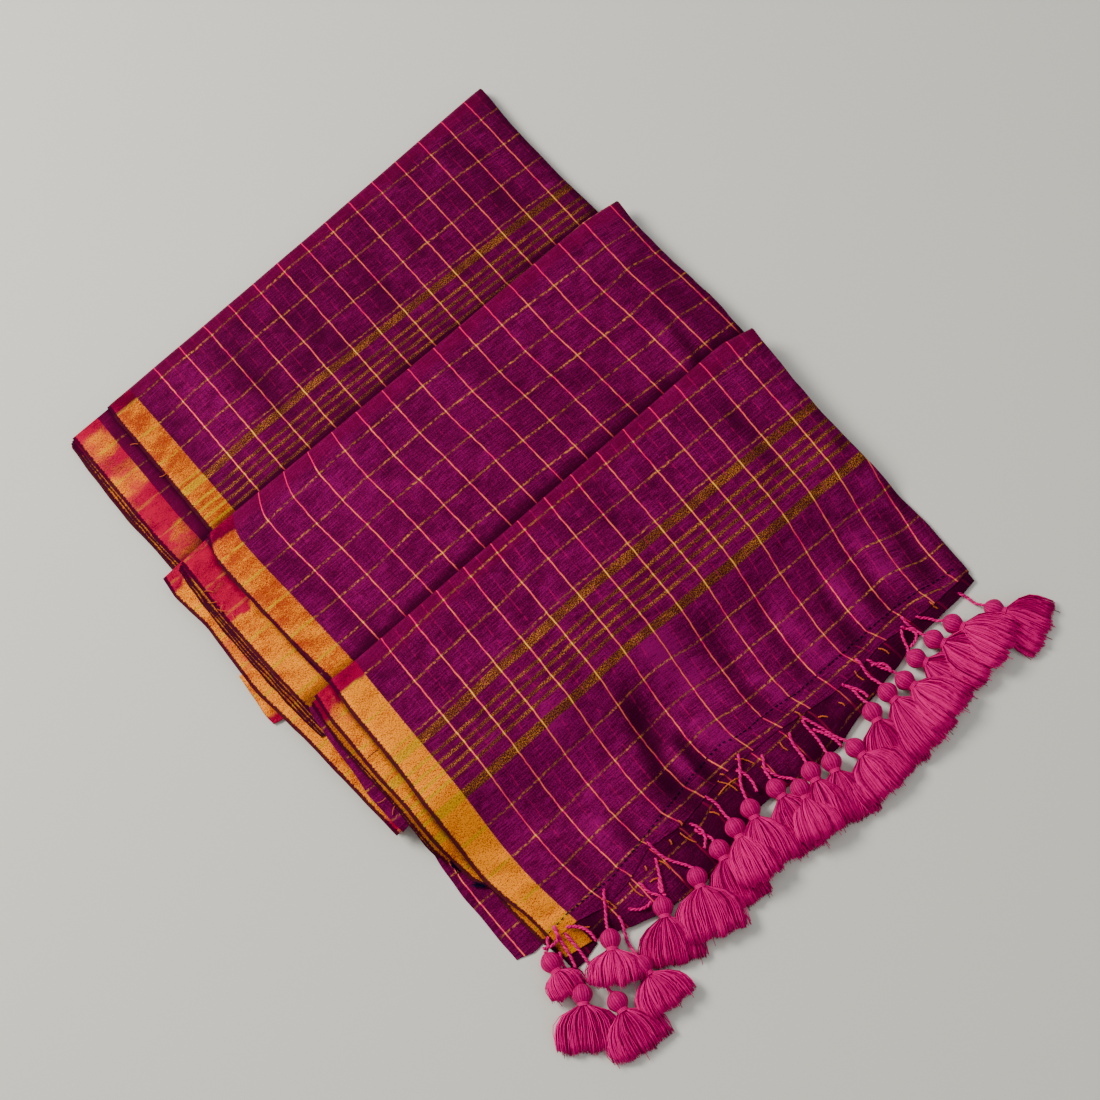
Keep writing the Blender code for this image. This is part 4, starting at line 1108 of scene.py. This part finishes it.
def twisted(middle, seed):
    """Two plies wound round a middle line, each PLY_PITCH to a full turn."""
    steps = np.linalg.norm(np.diff(middle, axis=0), axis=1)
    run = np.concatenate([[0.0], np.cumsum(steps)])
    along = np.gradient(middle, axis=0)
    along /= np.linalg.norm(along, axis=1, keepdims=True)
    side = np.cross(along, UP)
    side /= np.linalg.norm(side, axis=1, keepdims=True) + 1e-9
    top = np.cross(side, along)
    radius, plies = size("cord_radius"), []
    for offset in (0.0, math.pi):
        wound = (2.0 * math.pi * run / PLY_PITCH + seed + offset)[:, None]
        plies.append(middle + 0.8 * radius * (np.cos(wound) * side + np.sin(wound) * top))
    return tubes(np.array(plies), radius, PLY_SIDES, (0.55, 0.85))


def cord(u, v, lean, root_u, root_v, seed):
    """A twisted cord from its stitch in the cloth to the tassel's head: the middle line bends a
    little, lies on the cloth and then rises or sinks to the head."""
    random = np.random.default_rng(seed)
    start = np.array([root_u, root_v])
    end = np.array([u, v]) - headings(lean)[0][:2] * size("head_radius") * 0.9
    length = float(np.linalg.norm(end - start))
    t = np.linspace(0.0, 1.0, max(int(length * 3.0), 24))
    across = np.array([-(end - start)[1], (end - start)[0]]) / max(length, 1e-6)
    bend = random.uniform(-1.6, 1.6) * np.sin(math.pi * t) + 0.5 * np.sin(7.0 * t + seed)
    flat = start + np.outer(t, end - start) + np.outer(bend, across)
    lie = top_surface(flat[:, 0], flat[:, 1]) + size("cord_radius") * 1.7
    lie = np.convolve(np.pad(lie, 6, mode="edge"), np.ones(13) / 13.0, mode="valid")
    lie[0] = lie[0] - 1.4
    z = lie + (HEAD_HEIGHT - lie) * ease((t - 0.55) / 0.45)
    return twisted(np.column_stack([flat, np.maximum(z, size("cord_radius") * 1.9)]), seed)


def declare(piece, node=None):
    """Every piece rides on the one body, and the solid that it stands for, if any, is hidden."""
    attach(piece, "root")
    if node:
        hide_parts(node)


def declare_sheet(piece, node, flat):
    """The same for a sheet. flat, its cut in metres, is not used."""
    declare(piece, node)


def flat_size(edges, end, fold, more_across=0.0, more_along=0.0):
    """A panel's cut in metres: its width by its length along the middle."""
    width = float(read(edges, 0.0, 2) - read(edges, 0.0, 1)) + more_across
    length = float(read(fold, 0.0) - read(end, 0.0)) + more_along
    return width * MM, length * MM


def front_warp(u, v):
    """The front's warp place: beyond the hem's stitches its lines turn a little to the right."""
    beyond = np.clip(smooth_read(STITCH_LINE, u, 1, 4.0) - v, 0.0, 20.0)
    turned = beyond * (0.3 + 0.22 * unevenness(u, 0.0, 70.0, 44)) * ease((u + 132.0) / 16.0)
    return warp_place(WARP_FRONT, FRONT_EDGES, u - turned, v)


def middle_warp(u, v):
    """The middle's warp place: near the fold its lines turn a little to the right, most at the
    left side."""
    straight = tuple(row for row in MIDDLE_EDGES if row[0] < 110.0)
    turned = 6.6 * np.clip((v - 114.0) / 17.0, 0.0, 1.4) ** 1.8 * ease((-24.0 - u) / 90.0)
    return warp_place(WARP_MIDDLE, straight, u - turned, v)


def under_edge(edges, u, v, reach=1.5):
    """1 just beside the left edge of the panel above and 0 beyond its shadow."""
    return bell(smooth_read(edges, v) - u, reach)


def beside(fold, u, v, reach):
    """1 along a fold line that rises over the cloth and 0 beyond its shadow."""
    return bell(np.maximum(v - smooth_read(fold, u), 0.0), reach)


def front_tone(u, v):
    """Painted shade in the front's troughs and painted light on its ridges, painted light from
    the slope down and on one patch at the slope's top, painted shade near the hem and along
    the right edge.
    """
    folds = creases(CREASES_FRONT, u, v)
    tone = np.where(folds > 0.0, 0.6, 0.4) * folds + 0.27 * ease((-62.0 - v) / 16.0)
    tone = tone - 0.12 * ease((-132.0 - v) / 14.0)
    right = smooth_read(FRONT_EDGES, v, 2)
    tone = tone - 0.55 * ease((u - right + 9.0) / 6.0) * (0.35 + 0.65 * ease((-70.0 - v) / 14.0))
    return tone + 0.3 * bell(u + 64.0, 9.0) * bell(v + 68.0, 26.0)


def middle_tone(u, v):
    """Painted shadow beside the front's fold, painted shade and light on the middle's own
    creases, painted shade along its right edge and a little painted light towards its left.
    """
    right = smooth_read(MIDDLE_EDGES, v, 2)
    tone = 0.5 * creases(CREASES_MIDDLE, u, v) - 0.85 * beside(FRONT_FOLD, u, v, 5.5)
    return tone - 0.4 * ease((u - right + 8.0) / 6.0) + 0.12 * ease((20.0 - u) / 120.0)


def back_tone(u, v):
    """Painted shadow beside the middle's fold, painted shade and light on the back's own
    creases, painted shade along its right edge, and the whole back painted a little darker.
    """
    right = smooth_read(BACK_EDGES, v, 2)
    tone = 0.6 * creases(CREASES_BACK, u, v) - 0.8 * beside(MIDDLE_FOLD, u, v, 4.5)
    return tone - 0.4 * ease((u - right + 7.0) / 6.0) - 0.14


def front_weft(u, v):
    """The front's place along the warp."""
    return weft_place(WEFT_FRONT, WEFT_AT_FRONT, u, v)


def middle_weft(u, v):
    """The middle's place along the warp."""
    return weft_place(WEFT_MIDDLE, WEFT_AT_MIDDLE, u, v)


def stretch(key, edges, end, fold, under, warp, weft, more, **how):
    """A top panel from its near end up to its fold and down over it. more is the cloth that its
    flat length gains in the turns."""
    piece = cloth_panel(key + "_stretch", edges, end, fold, under, TOP_TOP, warp, weft,
                        finish(key + " cloth"), roll=0.75, **how)
    declare_sheet(piece, "stretch_" + key, flat_size(edges, end, fold, 1.6, more))


def show_stretches():
    """The three top panels. Each fold turns down to the panel behind it, or to the floor."""
    stretch("back", BACK_EDGES, BACK_END, BACK_FOLD, back_support,
            lambda u, v: warp_place(WARP_BACK, BACK_EDGES, u, v),
            lambda u, v: weft_place(WEFT_BACK, WEFT_AT_BACK, u, v), 6.0, step=2.6, turn_down=2.6,
            foot=lambda u, v: 0.8, blush_depth=9.0, tone=back_tone, seed=21)
    stretch("middle", MIDDLE_EDGES, MIDDLE_END, MIDDLE_FOLD, middle_support, middle_warp,
            middle_weft, 4.0, step=2.4, turn_down=2.2,
            foot=lambda u, v: back_support(u, v) + TOP_TOP + 0.15, blush_depth=9.0,
            tone=middle_tone, seed=31)
    stretch("front", FRONT_EDGES, TOP_HEM, FRONT_FOLD, front_support, front_warp, front_weft, 6.0,
            step=1.9, turn_down=2.2, foot=lambda u, v: middle_support(u, v) + TOP_TOP + 0.15,
            blush_depth=11.0, tone=front_tone, seed=41, end_droop=1.0)


def hem_shade(u, v):
    """Painted shade on the second panel under the hem (painted light where HEM_SHADE is below
    0), and painted shadow beside the tassels' heads and beside the front's left edge.
    """
    near = ease((smooth_read(TOP_HEM, u, 1, 3.0) - v + 10.0) / 8.0)
    by_heads = ease((smooth_read(SECOND_HEM, u, 1, 3.0) + 12.0 - v) / 8.0)
    shade = near * smooth_read(HEM_SHADE, u) + 0.4 * by_heads * ease((u + 134.0) / 10.0)
    return -shade - 0.8 * under_edge(FRONT_EDGES, u, v)


def back_shade(u, v):
    """The shadows that the middle's fold and the back's top panel cast on the second panel."""
    shade = np.maximum(beside(MIDDLE_FOLD, u, v, 4.5), under_edge(BACK_EDGES, u, v))
    return -0.8 * shade - 0.4 * under_edge(BACK_EDGES, u, v, 9.0)


def middle_shade(u, v):
    """The shadows that the front's fold and the middle's top panel cast on the second panel."""
    return -0.8 * np.maximum(beside(FRONT_FOLD, u, v, 5.0), under_edge(MIDDLE_EDGES, u, v))


def second_front_weft(u, v):
    """The second panel's place along the warp: its last gold line, the fifth after the bands,
    follows SECOND_WEFT, and above it the lines lie a little off those of the top panel."""
    low = CHECK_AGAIN + 4.0 * WEFT_PITCH + smooth_read(SECOND_WEFT, u, 1, 4.0) - v
    return np.where(v < -150.0, low, front_weft(u, v) - 9.0)


def show_second_panels():
    """The panels just under the top ones, which show their border at the left."""
    rows = (
        ("back", UNDER_BACK_EDGES, BACK_END, BACK_FOLD, back_support,
         lambda u, v: 107.8 + (211.6 - v) * 1.031,
         ((250, 1), (228, 0.9), (222, 0.55), (209, 0.55), (205, 0.8), (197, 0.74), (192, 0.45),
          (180, 0.5), (176, 0.84), (150, 0.8), (142, 0.66), (110, 0.7)), back_shade),
        ("middle", UNDER_MIDDLE_EDGES, MIDDLE_END, MIDDLE_FOLD, middle_support,
         lambda u, v: middle_weft(u + 22.0, v) - 7.0,
         ((140, 1), (122, 1), (112, 0.8), (90, 1), (84, 0.8), (79, 0), (-5, 0)), middle_shade),
        ("front", UNDER_FRONT_EDGES, SECOND_HEM, FRONT_FOLD, front_support, second_front_weft,
         ((25, 1), (8, 1), (0, 0.35), (-12, 0.3), (-20, 0), (-190, 0)), hem_shade),
    )
    for key, edges, end, fold, under, weft, blush, tone in rows:
        inset = tuple((u, v - 1.6) for u, v in fold)
        piece = cloth_panel(
            "second_panel_" + key, edges, end, inset, under, SECOND_TOP, from_left(edges), weft,
            finish("under cloth"), step=2.6, blush_rows=blush, tone=tone, edge_droop=0.3,
            seed=50 + len(key))
        declare_sheet(piece, "under_" + key, flat_size(edges, end, inset))


def show_layer_edges():
    """Single layers whose selvedges fan out at the left, each a strip along the warp that lies
    between the second panel and the pile."""
    supports = {"front": front_support, "middle": middle_support, "back": back_support}
    for number, (key, lift, near, far, seed, rows) in enumerate(LAYER_EDGES, start=1):
        edges = tuple((v, left, left + STRIP_WIDTH) for v, left in rows)
        # The strips are painted darker: painted shade in the gaps between the layers
        piece = cloth_panel(
            f"layer_edge_{number}", edges, ((-180, near), (-140, near)), ((-180, far), (-140, far)),
            supports[key], lift, from_left(edges, 0.75), back_from(300.0), finish("under cloth"),
            step=1.8, edge_droop=0.25, tone=-0.6, frill=0.45, seed=seed,
            blush_rows=((far, 1), (far - 8, 0.9), (far - 13, 0.25), (near, 0.15)))
        declare_sheet(piece, None, (STRIP_WIDTH * MM, (far - near) * MM))


def show_lower_panels():
    """The lower panels at the left, the creased strip, the end's lower layer and the tongue."""
    rows = (
        ("lower_middle", "border", LOWER_MIDDLE_EDGES, LOWER_MIDDLE_END, LOWER_MIDDLE_FOLD,
         lambda u, v: TOP_BACK + 2.0 * GAP + 0.2 * unevenness(u, v, 24.0, 73) - 0.2, UNDER_WALL,
         0.0, 486.0,
         ((128, 1), (120, 0.95), (114, 0.2), (82, 0.15), (76, 0.55), (58, 0.5), (50, 0.15),
          (-54, 0.1), (-60, 0.6), (-66, 1), (-75, 1))),
        ("lower_front", "body", LOWER_FRONT_EDGES, LOWER_FRONT_END, LOWER_FRONT_FOLD,
         lambda u, v: front_support(u, v) - UNDER_WALL + 0.35 * unevenness(u, v, 7.0, 71),
         UNDER_WALL - 0.35, 60.0, 300.0, ((16, 0.8), (4, 0.2), (-80, 0))),
        ("end_lower", "body", END_LOWER_EDGES, END_LOWER_HEM, END_LOWER_START,
         lambda u, v: 0.05 + 0.12 * unevenness(u, v, 14.0, 72), END_LAYER_TOP - 0.2, 52.3, -39.5,
         ((0, 0), (1, 0))),
        ("corner_leaf", "body", CORNER_LEAF_EDGES, CORNER_LEAF_END, CORNER_LEAF_FOLD,
         lambda u, v: 0.45 + 0.15 * unevenness(u, v, 9.0, 75), 0.3, 64.0, 300.0,
         ((-160, 0), (-190, 0))),
        ("end_tongue", "border", TONGUE_EDGES, TONGUE_END, TONGUE_START, lambda u, v: 0.8,
         UNDER_WALL, 2.0, 300.0, ((60, 0.2), (32, 0.2), (27, 1), (20, 1))),
    )
    for name, slot, edges, end, fold, under, lift, across_from, along_from, blush in rows:
        # The corner leaf, which has no solid, is painted dark: painted shade on cloth in shadow
        in_cad = name != "corner_leaf"
        piece = cloth_panel(
            "panel_" + name, edges, end, fold, under, lift, from_left(edges, across_from),
            back_from(along_from), finish("under cloth"), step=3.0, edge_droop=0.3,
            blush_rows=blush, tone=0.0 if in_cad else -0.7, frill=0.2, seed=len(name))
        width_at = 40.0 if name == "end_tongue" else 0.0
        width = float(read(edges, width_at, 2) - read(edges, width_at, 1))
        length_at = float(edges[1][1] + edges[1][2]) / 2.0
        length = float(read(fold, length_at) - read(end, length_at))
        declare_sheet(piece, name if in_cad else None, (width * MM, length * MM))


def show_hidden_layers():
    """The pile's hidden layers as folded leaves: the cloth runs from a free left edge to the
    right, turns back under itself in a half circle and ends at the left again."""
    random = np.random.default_rng(5)
    parts, quads, first, area = [], [], 0, 0.0
    t, s = np.linspace(0.0, 1.0, 70)[:, None], stations(1.0, 0.25, 0.015, 0.06)
    turns = np.radians(np.linspace(15.0, 165.0, 9))
    around = np.concatenate([np.ones(len(s)), np.cos(turns), -np.ones(len(s))])
    for low, high, count, near, far, in_left, in_right, gold in LEAVES:
        thick = (high - low) / count
        half = 0.5 * thick - 0.16
        far_line = BACK_FOLD if low < 6.0 else (MIDDLE_FOLD if low < 10.0 else FRONT_FOLD)
        for number in range(count):
            jitter = random.uniform(0.0, 1.5, 2)
            jitter[0] += 3.5 if low < 6.0 and number == 1 else 0.0
            reach = float(read(far_line, 0.0)) - 3.6 if far == 0.0 else far
            start = near + random.uniform(0.0, 3.0)
            v = start + (reach - start) * t
            seed = number + int(low)
            left = smooth_read(LEAF_LEFT, v) + in_left + jitter[0]
            left = left + 0.5 * unevenness(v, 0.0, 21.0, 200 + seed)
            right = smooth_read(LEAF_RIGHT, v) - in_right - jitter[1]
            right = right + 0.5 * unevenness(v, 0.0, 23.0, 300 + seed)
            tilt = 0.0
            if far == 0.0:
                tilt = smooth_read(far_line, right) - smooth_read(far_line, left)
            span = right - half - left
            top_u = left + span * s
            u = np.concatenate([top_u, right - half + half * np.sin(turns),
                                top_u[:, ::-1] + random.uniform(0.2, 1.4)], axis=1)
            sag = 0.14 * unevenness(u, v, 24.0, 400 + number)
            z = low + thick * (number + 0.5) + half * around + sag * bell(u - left, 30.0)
            share = (u - left) / (right - left)
            w = v + share * tilt * t - 0.5 * tilt * t
            across = u - left + (0.8 if gold else 44.0)
            parts.append(np.stack([u, w, z, across, back_from(300.0)(u, w)], -1).reshape(-1, 5))
            quads.append(grid_quads(*u.shape) + first)
            first += u.size
            area += 2.0 * float(span.mean()) * (reach - start)
    points = np.concatenate(parts)
    piece = cloth_object("hidden_leaves", points[:, :3], np.concatenate(quads), points[:, 3],
                         points[:, 4], finish("under cloth"), LEAF_THICKNESS,
                         {"blush": np.full(len(points), 0.45)})
    flat = (LEAVES_WIDTH, area * MM * MM / LEAVES_WIDTH)
    declare_sheet(piece, "hidden_layers", flat)


def running_stitches(random):
    """The hem's running stitch: short arcs along its line, uneven in length and spacing."""
    at = STITCH_START + np.cumsum(random.uniform(*STITCH_SPACING, 96))
    at = at[at < STITCH_END][:, None]
    long = random.uniform(*STITCH_LENGTH, len(at))[:, None]
    share = np.linspace(0.0, 1.0, 6)[None, :]
    u = at + long * share
    v = smooth_read(STITCH_LINE, u, 1, 4.0) + 0.25 * unevenness(u, 0.0, 9.0, 91)
    z = top_surface(u, v) + 0.3 + 0.3 * np.sin(math.pi * share)
    points = np.stack([u, v, z], axis=-1)
    return tubes(points, STITCH_RADIUS, 5, random.uniform(0.1, 0.9, len(at)))


def thread_end(u0, v0, u1, v1, bend, strand):
    """One strand of a loose end: an arc with a slow twist, lying on what is under it."""
    t = np.linspace(0.0, 1.0, 12)
    length = math.hypot(u1 - u0, v1 - v0)
    off = bend * np.sin(math.pi * t) + strand * np.cos(2.5 * t * length + strand)
    u = u0 + (u1 - u0) * t - off * (v1 - v0) / length
    v = v0 + (v1 - v0) * t + off * (u1 - u0) / length
    z = top_surface(u, v) + 0.3 + 0.5 * np.sin(math.pi * t)
    return tubes(np.stack([u, v, z], axis=-1)[None], END_RADIUS, 5, (0.75 + 0.5 * strand,))


def loose_strand(root, tip, bend):
    """A single strand between two places, bent to one side by a sine."""
    t = np.linspace(0.0, 1.0, 12)[:, None]
    across = np.array([root[1] - tip[1], tip[0] - root[0], 0.0])
    off = bend * np.sin(2.6 * t) * across / math.hypot(across[1], across[0])
    path = np.array(root) * (1 - t) + np.array(tip) * t + off
    return tubes(path[None], STRAND_RADIUS, 5, (0.7,))


def tuft(root, tip, spread, count, random):
    """Strands from one root that spread out to the side and lift on their way."""
    t = np.linspace(0.0, 1.0, 7)[None, :, None]
    root, tip = np.array(root), np.array(tip)
    aside = random.uniform(-1.0, 1.0, (count, 1, 1)) * spread * np.array([0.9, 0.3, 0.0])
    reach = random.uniform(0.5, 1.15, (count, 1, 1))
    lifted = 0.9 * np.sin(math.pi * t) * random.uniform(0.2, 1.0, (count, 1, 1))
    paths = root + (tip - root) * t * reach + aside * t ** 1.4
    paths = paths + 0.5 * aside * np.sin(5.0 * t) * (1 - t) + lifted * UP
    return tubes(paths, TUFT_RADIUS, 3, random.uniform(0.0, 1.0, count))


def spare_cord(places, seed):
    """A short cord end on what lies under it."""
    middle = curve_through(np.array(places, float), 40)
    middle[:, 2] += np.maximum(top_surface(middle[:, 0], middle[:, 1]), 0.0)
    return twisted(middle, seed)


def show_stitching():
    """The navy running stitch, tufts of dark thread, ends of gold thread and spare cords."""
    random = np.random.default_rng(9)
    stitches = running_stitches(random)
    gold = [thread_end(*row, strand) for row in THREAD_ENDS for strand in END_STRANDS]
    navy = []
    for *places, bend, is_gold in LOOSE_STRANDS:
        (gold if is_gold else navy).append(loose_strand(places[:3], places[3:], bend))
    for *places, spread, count in TUFTS:
        navy.append(tuft(places[:3], places[3:], spread, count, random))
    cords = [spare_cord(places, 750 + number) for number, places in enumerate(SPARE_CORDS)]
    for name, parts, thread, slot in (
            ("hem_stitches", [stitches], "navy thread", "body"),
            ("navy_tufts", navy, "navy thread", "body"),
            ("gold_thread_ends", gold, "gold thread", "border"),
            ("spare_cords", cords, "tassel thread", "tassel")):
        declare(joined(name, parts, thread))


def show_tassels():
    """One piece for each tassel: its cord, its head and neck, and its threads."""
    for number, row in enumerate(TASSELS, start=1):
        place = row[:3]
        parts = [*skirt(row, 600 + number), *head_and_neck(*place, 650 + number),
                 cord(*place, *row[6:], 700 + number)]
        declare(joined(f"tassel_threads_{number:02d}", parts, "tassel thread"),
                f"tassel_{number:02d}")


def on_stage(made):
    """Links a thing that isn't part of the saree."""
    bpy.context.scene.collection.objects.link(made)


def area_light(name, place, side, power, colour):
    """A square lamp at place, turned towards the middle of the cloth."""
    lamp = bpy.data.lights.new(name, "AREA")
    lamp.size, lamp.energy, lamp.color = side, power, colour
    made = bpy.data.objects.new(name, lamp)
    made.location = place
    away = np.array(place) / np.linalg.norm(place)
    made.rotation_euler = (math.acos(away[2]), 0.0, math.atan2(away[1], away[0]) + math.pi / 2)
    on_stage(made)


def show_stage():
    """A plain pale floor, soft studio light and the camera at the photograph's angle."""
    mesh = bpy.data.meshes.new("ground")
    half = FLOOR_HALF
    mesh.from_pydata([(-half, -half, 0), (half, -half, 0), (half, half, 0), (-half, half, 0)],
                     [], [(0, 1, 2, 3)])
    plain, graph, shader = new_material("pale ground")
    graph.put(shader, Base_Color=rgb(214, 212, 200), Roughness=0.85)
    mesh.materials.append(plain)
    on_stage(bpy.data.objects.new("ground", mesh))
    for lamp in LAMPS:
        area_light(*lamp)
    world = bpy.data.worlds.new("studio")
    world.use_nodes = True
    sky = world.node_tree.nodes["Background"].inputs
    sky["Color"].default_value, sky["Strength"].default_value = (0.9, 0.93, 1.0, 1.0), 0.36
    bpy.context.scene.world = world
    data = bpy.data.cameras.new("photo camera")
    data.lens, data.sensor_width, data.sensor_fit = LENS, SENSOR, "HORIZONTAL"
    camera = bpy.data.objects.new("photo camera", data)
    aim = to_world((0.0, 0.0, 0.0))
    camera.location = (aim[0], aim[1] - CAMERA_DISTANCE * math.sin(CAMERA_TILT),
                       CAMERA_DISTANCE * math.cos(CAMERA_TILT))
    camera.rotation_euler = (CAMERA_TILT, 0.0, 0.0)
    on_stage(camera)
    bpy.context.scene.camera = camera


# The add-on's settings, operators and panel


def colour_property(name, description, *screen):
    """A colour setting in linear light, from a screen colour."""
    return bpy.props.FloatVectorProperty(
        name=name, description=description, subtype="COLOR", size=4, min=0.0, max=1.0,
        default=rgb(*screen))


def size_property(name, description, millimetres):
    """A length of the part that can be set in the panel."""
    return bpy.props.FloatProperty(
        name=name, description=description, default=millimetres * MM, subtype="DISTANCE",
        unit="LENGTH", min=0.2 * millimetres * MM, max=3.0 * millimetres * MM, precision=5)


class SareeLook(bpy.types.PropertyGroup):
    """Sizes of the weave and the tassels, and colours of the cloth and its threads."""

    warp_pitch: size_property("Warp line spacing", "From one gold warp line to the next",
                              WARP_PITCH)
    weft_pitch: size_property("Weft line spacing", "From one gold weft line to the next",
                              WEFT_PITCH)
    border_width: size_property("Border width", "Width of the gold border", BORDER_WIDTH)
    cloth_thickness: size_property("Cloth thickness", "Thickness of one layer of cloth",
                                   CLOTH_THICKNESS)
    head_radius: size_property("Tassel head radius", "Radius of a tassel's round head",
                               HEAD_RADIUS)
    thread_radius: size_property("Thread radius", "Radius of one thread of a tassel",
                                 THREAD_RADIUS)
    cord_radius: size_property("Cord ply radius", "Radius of one ply of a tassel's cord",
                               PLY_RADIUS)
    body: colour_property("Body", "The ground cloth", 86, 0, 52)
    # Body dark also colours painted shade, body light painted light and the painted sheen
    body_dark: colour_property("Body dark", "The ground cloth between its slubs", 54, 0, 32)
    body_light: colour_property("Body light", "The ground cloth's bright slubs", 130, 0, 86)
    gold: colour_property("Gold", "The border's metallic thread", 246, 142, 0)
    rust: colour_property("Rust", "The border's darker thread", 160, 54, 22)
    yellow: colour_property("Yellow", "Bright ticks where gold crosses gold", 210, 154, 0)
    olive: colour_property("Olive", "The gold of the striped bands", 146, 90, 14)
    tassel: colour_property("Tassel", "The tassels' thread", 242, 0, 132)


class SAREE_OT_stage(bpy.types.Operator):
    """Make the floor, the lights and the camera"""

    bl_idname = "saree.stage"
    bl_label = "Stage"

    def execute(self, context):
        show_stage()
        return {"FINISHED"}


class SAREE_OT_stretches(bpy.types.Operator):
    """Make the three stretches that show"""

    bl_idname = "saree.stretches"
    bl_label = "Stretches"

    def execute(self, context):
        show_stretches()
        return {"FINISHED"}


class SAREE_OT_second_panels(bpy.types.Operator):
    """Make the second panels with their border"""

    bl_idname = "saree.second_panels"
    bl_label = "Second panels"

    def execute(self, context):
        show_second_panels()
        return {"FINISHED"}


class SAREE_OT_layer_edges(bpy.types.Operator):
    """Make the single layers whose edges fan out at the left"""

    bl_idname = "saree.layer_edges"
    bl_label = "Layer edges"

    def execute(self, context):
        show_layer_edges()
        return {"FINISHED"}


class SAREE_OT_lower_panels(bpy.types.Operator):
    """Make the lower panels at the left and the end's lower layer"""

    bl_idname = "saree.lower_panels"
    bl_label = "Lower panels"

    def execute(self, context):
        show_lower_panels()
        return {"FINISHED"}


class SAREE_OT_hidden_layers(bpy.types.Operator):
    """Make the pile's hidden layers"""

    bl_idname = "saree.hidden_layers"
    bl_label = "Hidden layers"

    def execute(self, context):
        show_hidden_layers()
        return {"FINISHED"}


class SAREE_OT_stitching(bpy.types.Operator):
    """Make the hem's stitches and the loose thread ends"""

    bl_idname = "saree.stitching"
    bl_label = "Stitching"

    def execute(self, context):
        show_stitching()
        return {"FINISHED"}


class SAREE_OT_tassels(bpy.types.Operator):
    """Make the tassels with their cords"""

    bl_idname = "saree.tassels"
    bl_label = "Tassels"

    def execute(self, context):
        show_tassels()
        return {"FINISHED"}


OPERATORS = (
    SAREE_OT_stage, SAREE_OT_stretches, SAREE_OT_second_panels, SAREE_OT_layer_edges,
    SAREE_OT_lower_panels, SAREE_OT_hidden_layers, SAREE_OT_stitching, SAREE_OT_tassels,
)


class SAREE_PT_panel(bpy.types.Panel):
    """Lists the saree's pieces"""

    bl_label = "Saree"
    bl_idname = "SAREE_PT_panel"
    bl_space_type = "VIEW_3D"
    bl_region_type = "UI"
    bl_category = "Saree"

    def draw(self, context):
        for operator in OPERATORS:
            self.layout.operator(operator.bl_idname)
        for name in SareeLook.__annotations__:
            self.layout.prop(context.scene.saree_look, name)


def register():
    """Adds the settings, the operators and the panel."""
    for item in (SareeLook, *OPERATORS, SAREE_PT_panel):
        bpy.utils.register_class(item)
    bpy.types.Scene.saree_look = bpy.props.PointerProperty(type=SareeLook)


def unregister():
    """Takes them away again."""
    del bpy.types.Scene.saree_look
    for item in (SAREE_PT_panel, *reversed(OPERATORS), SareeLook):
        bpy.utils.unregister_class(item)


def main():
    """Builds every piece in order."""
    register()
    bpy.ops.saree.stage()
    bpy.ops.saree.hidden_layers()
    bpy.ops.saree.lower_panels()
    bpy.ops.saree.layer_edges()
    bpy.ops.saree.second_panels()
    bpy.ops.saree.stretches()
    bpy.ops.saree.stitching()
    bpy.ops.saree.tassels()


if __name__ == "__main__":
    main()
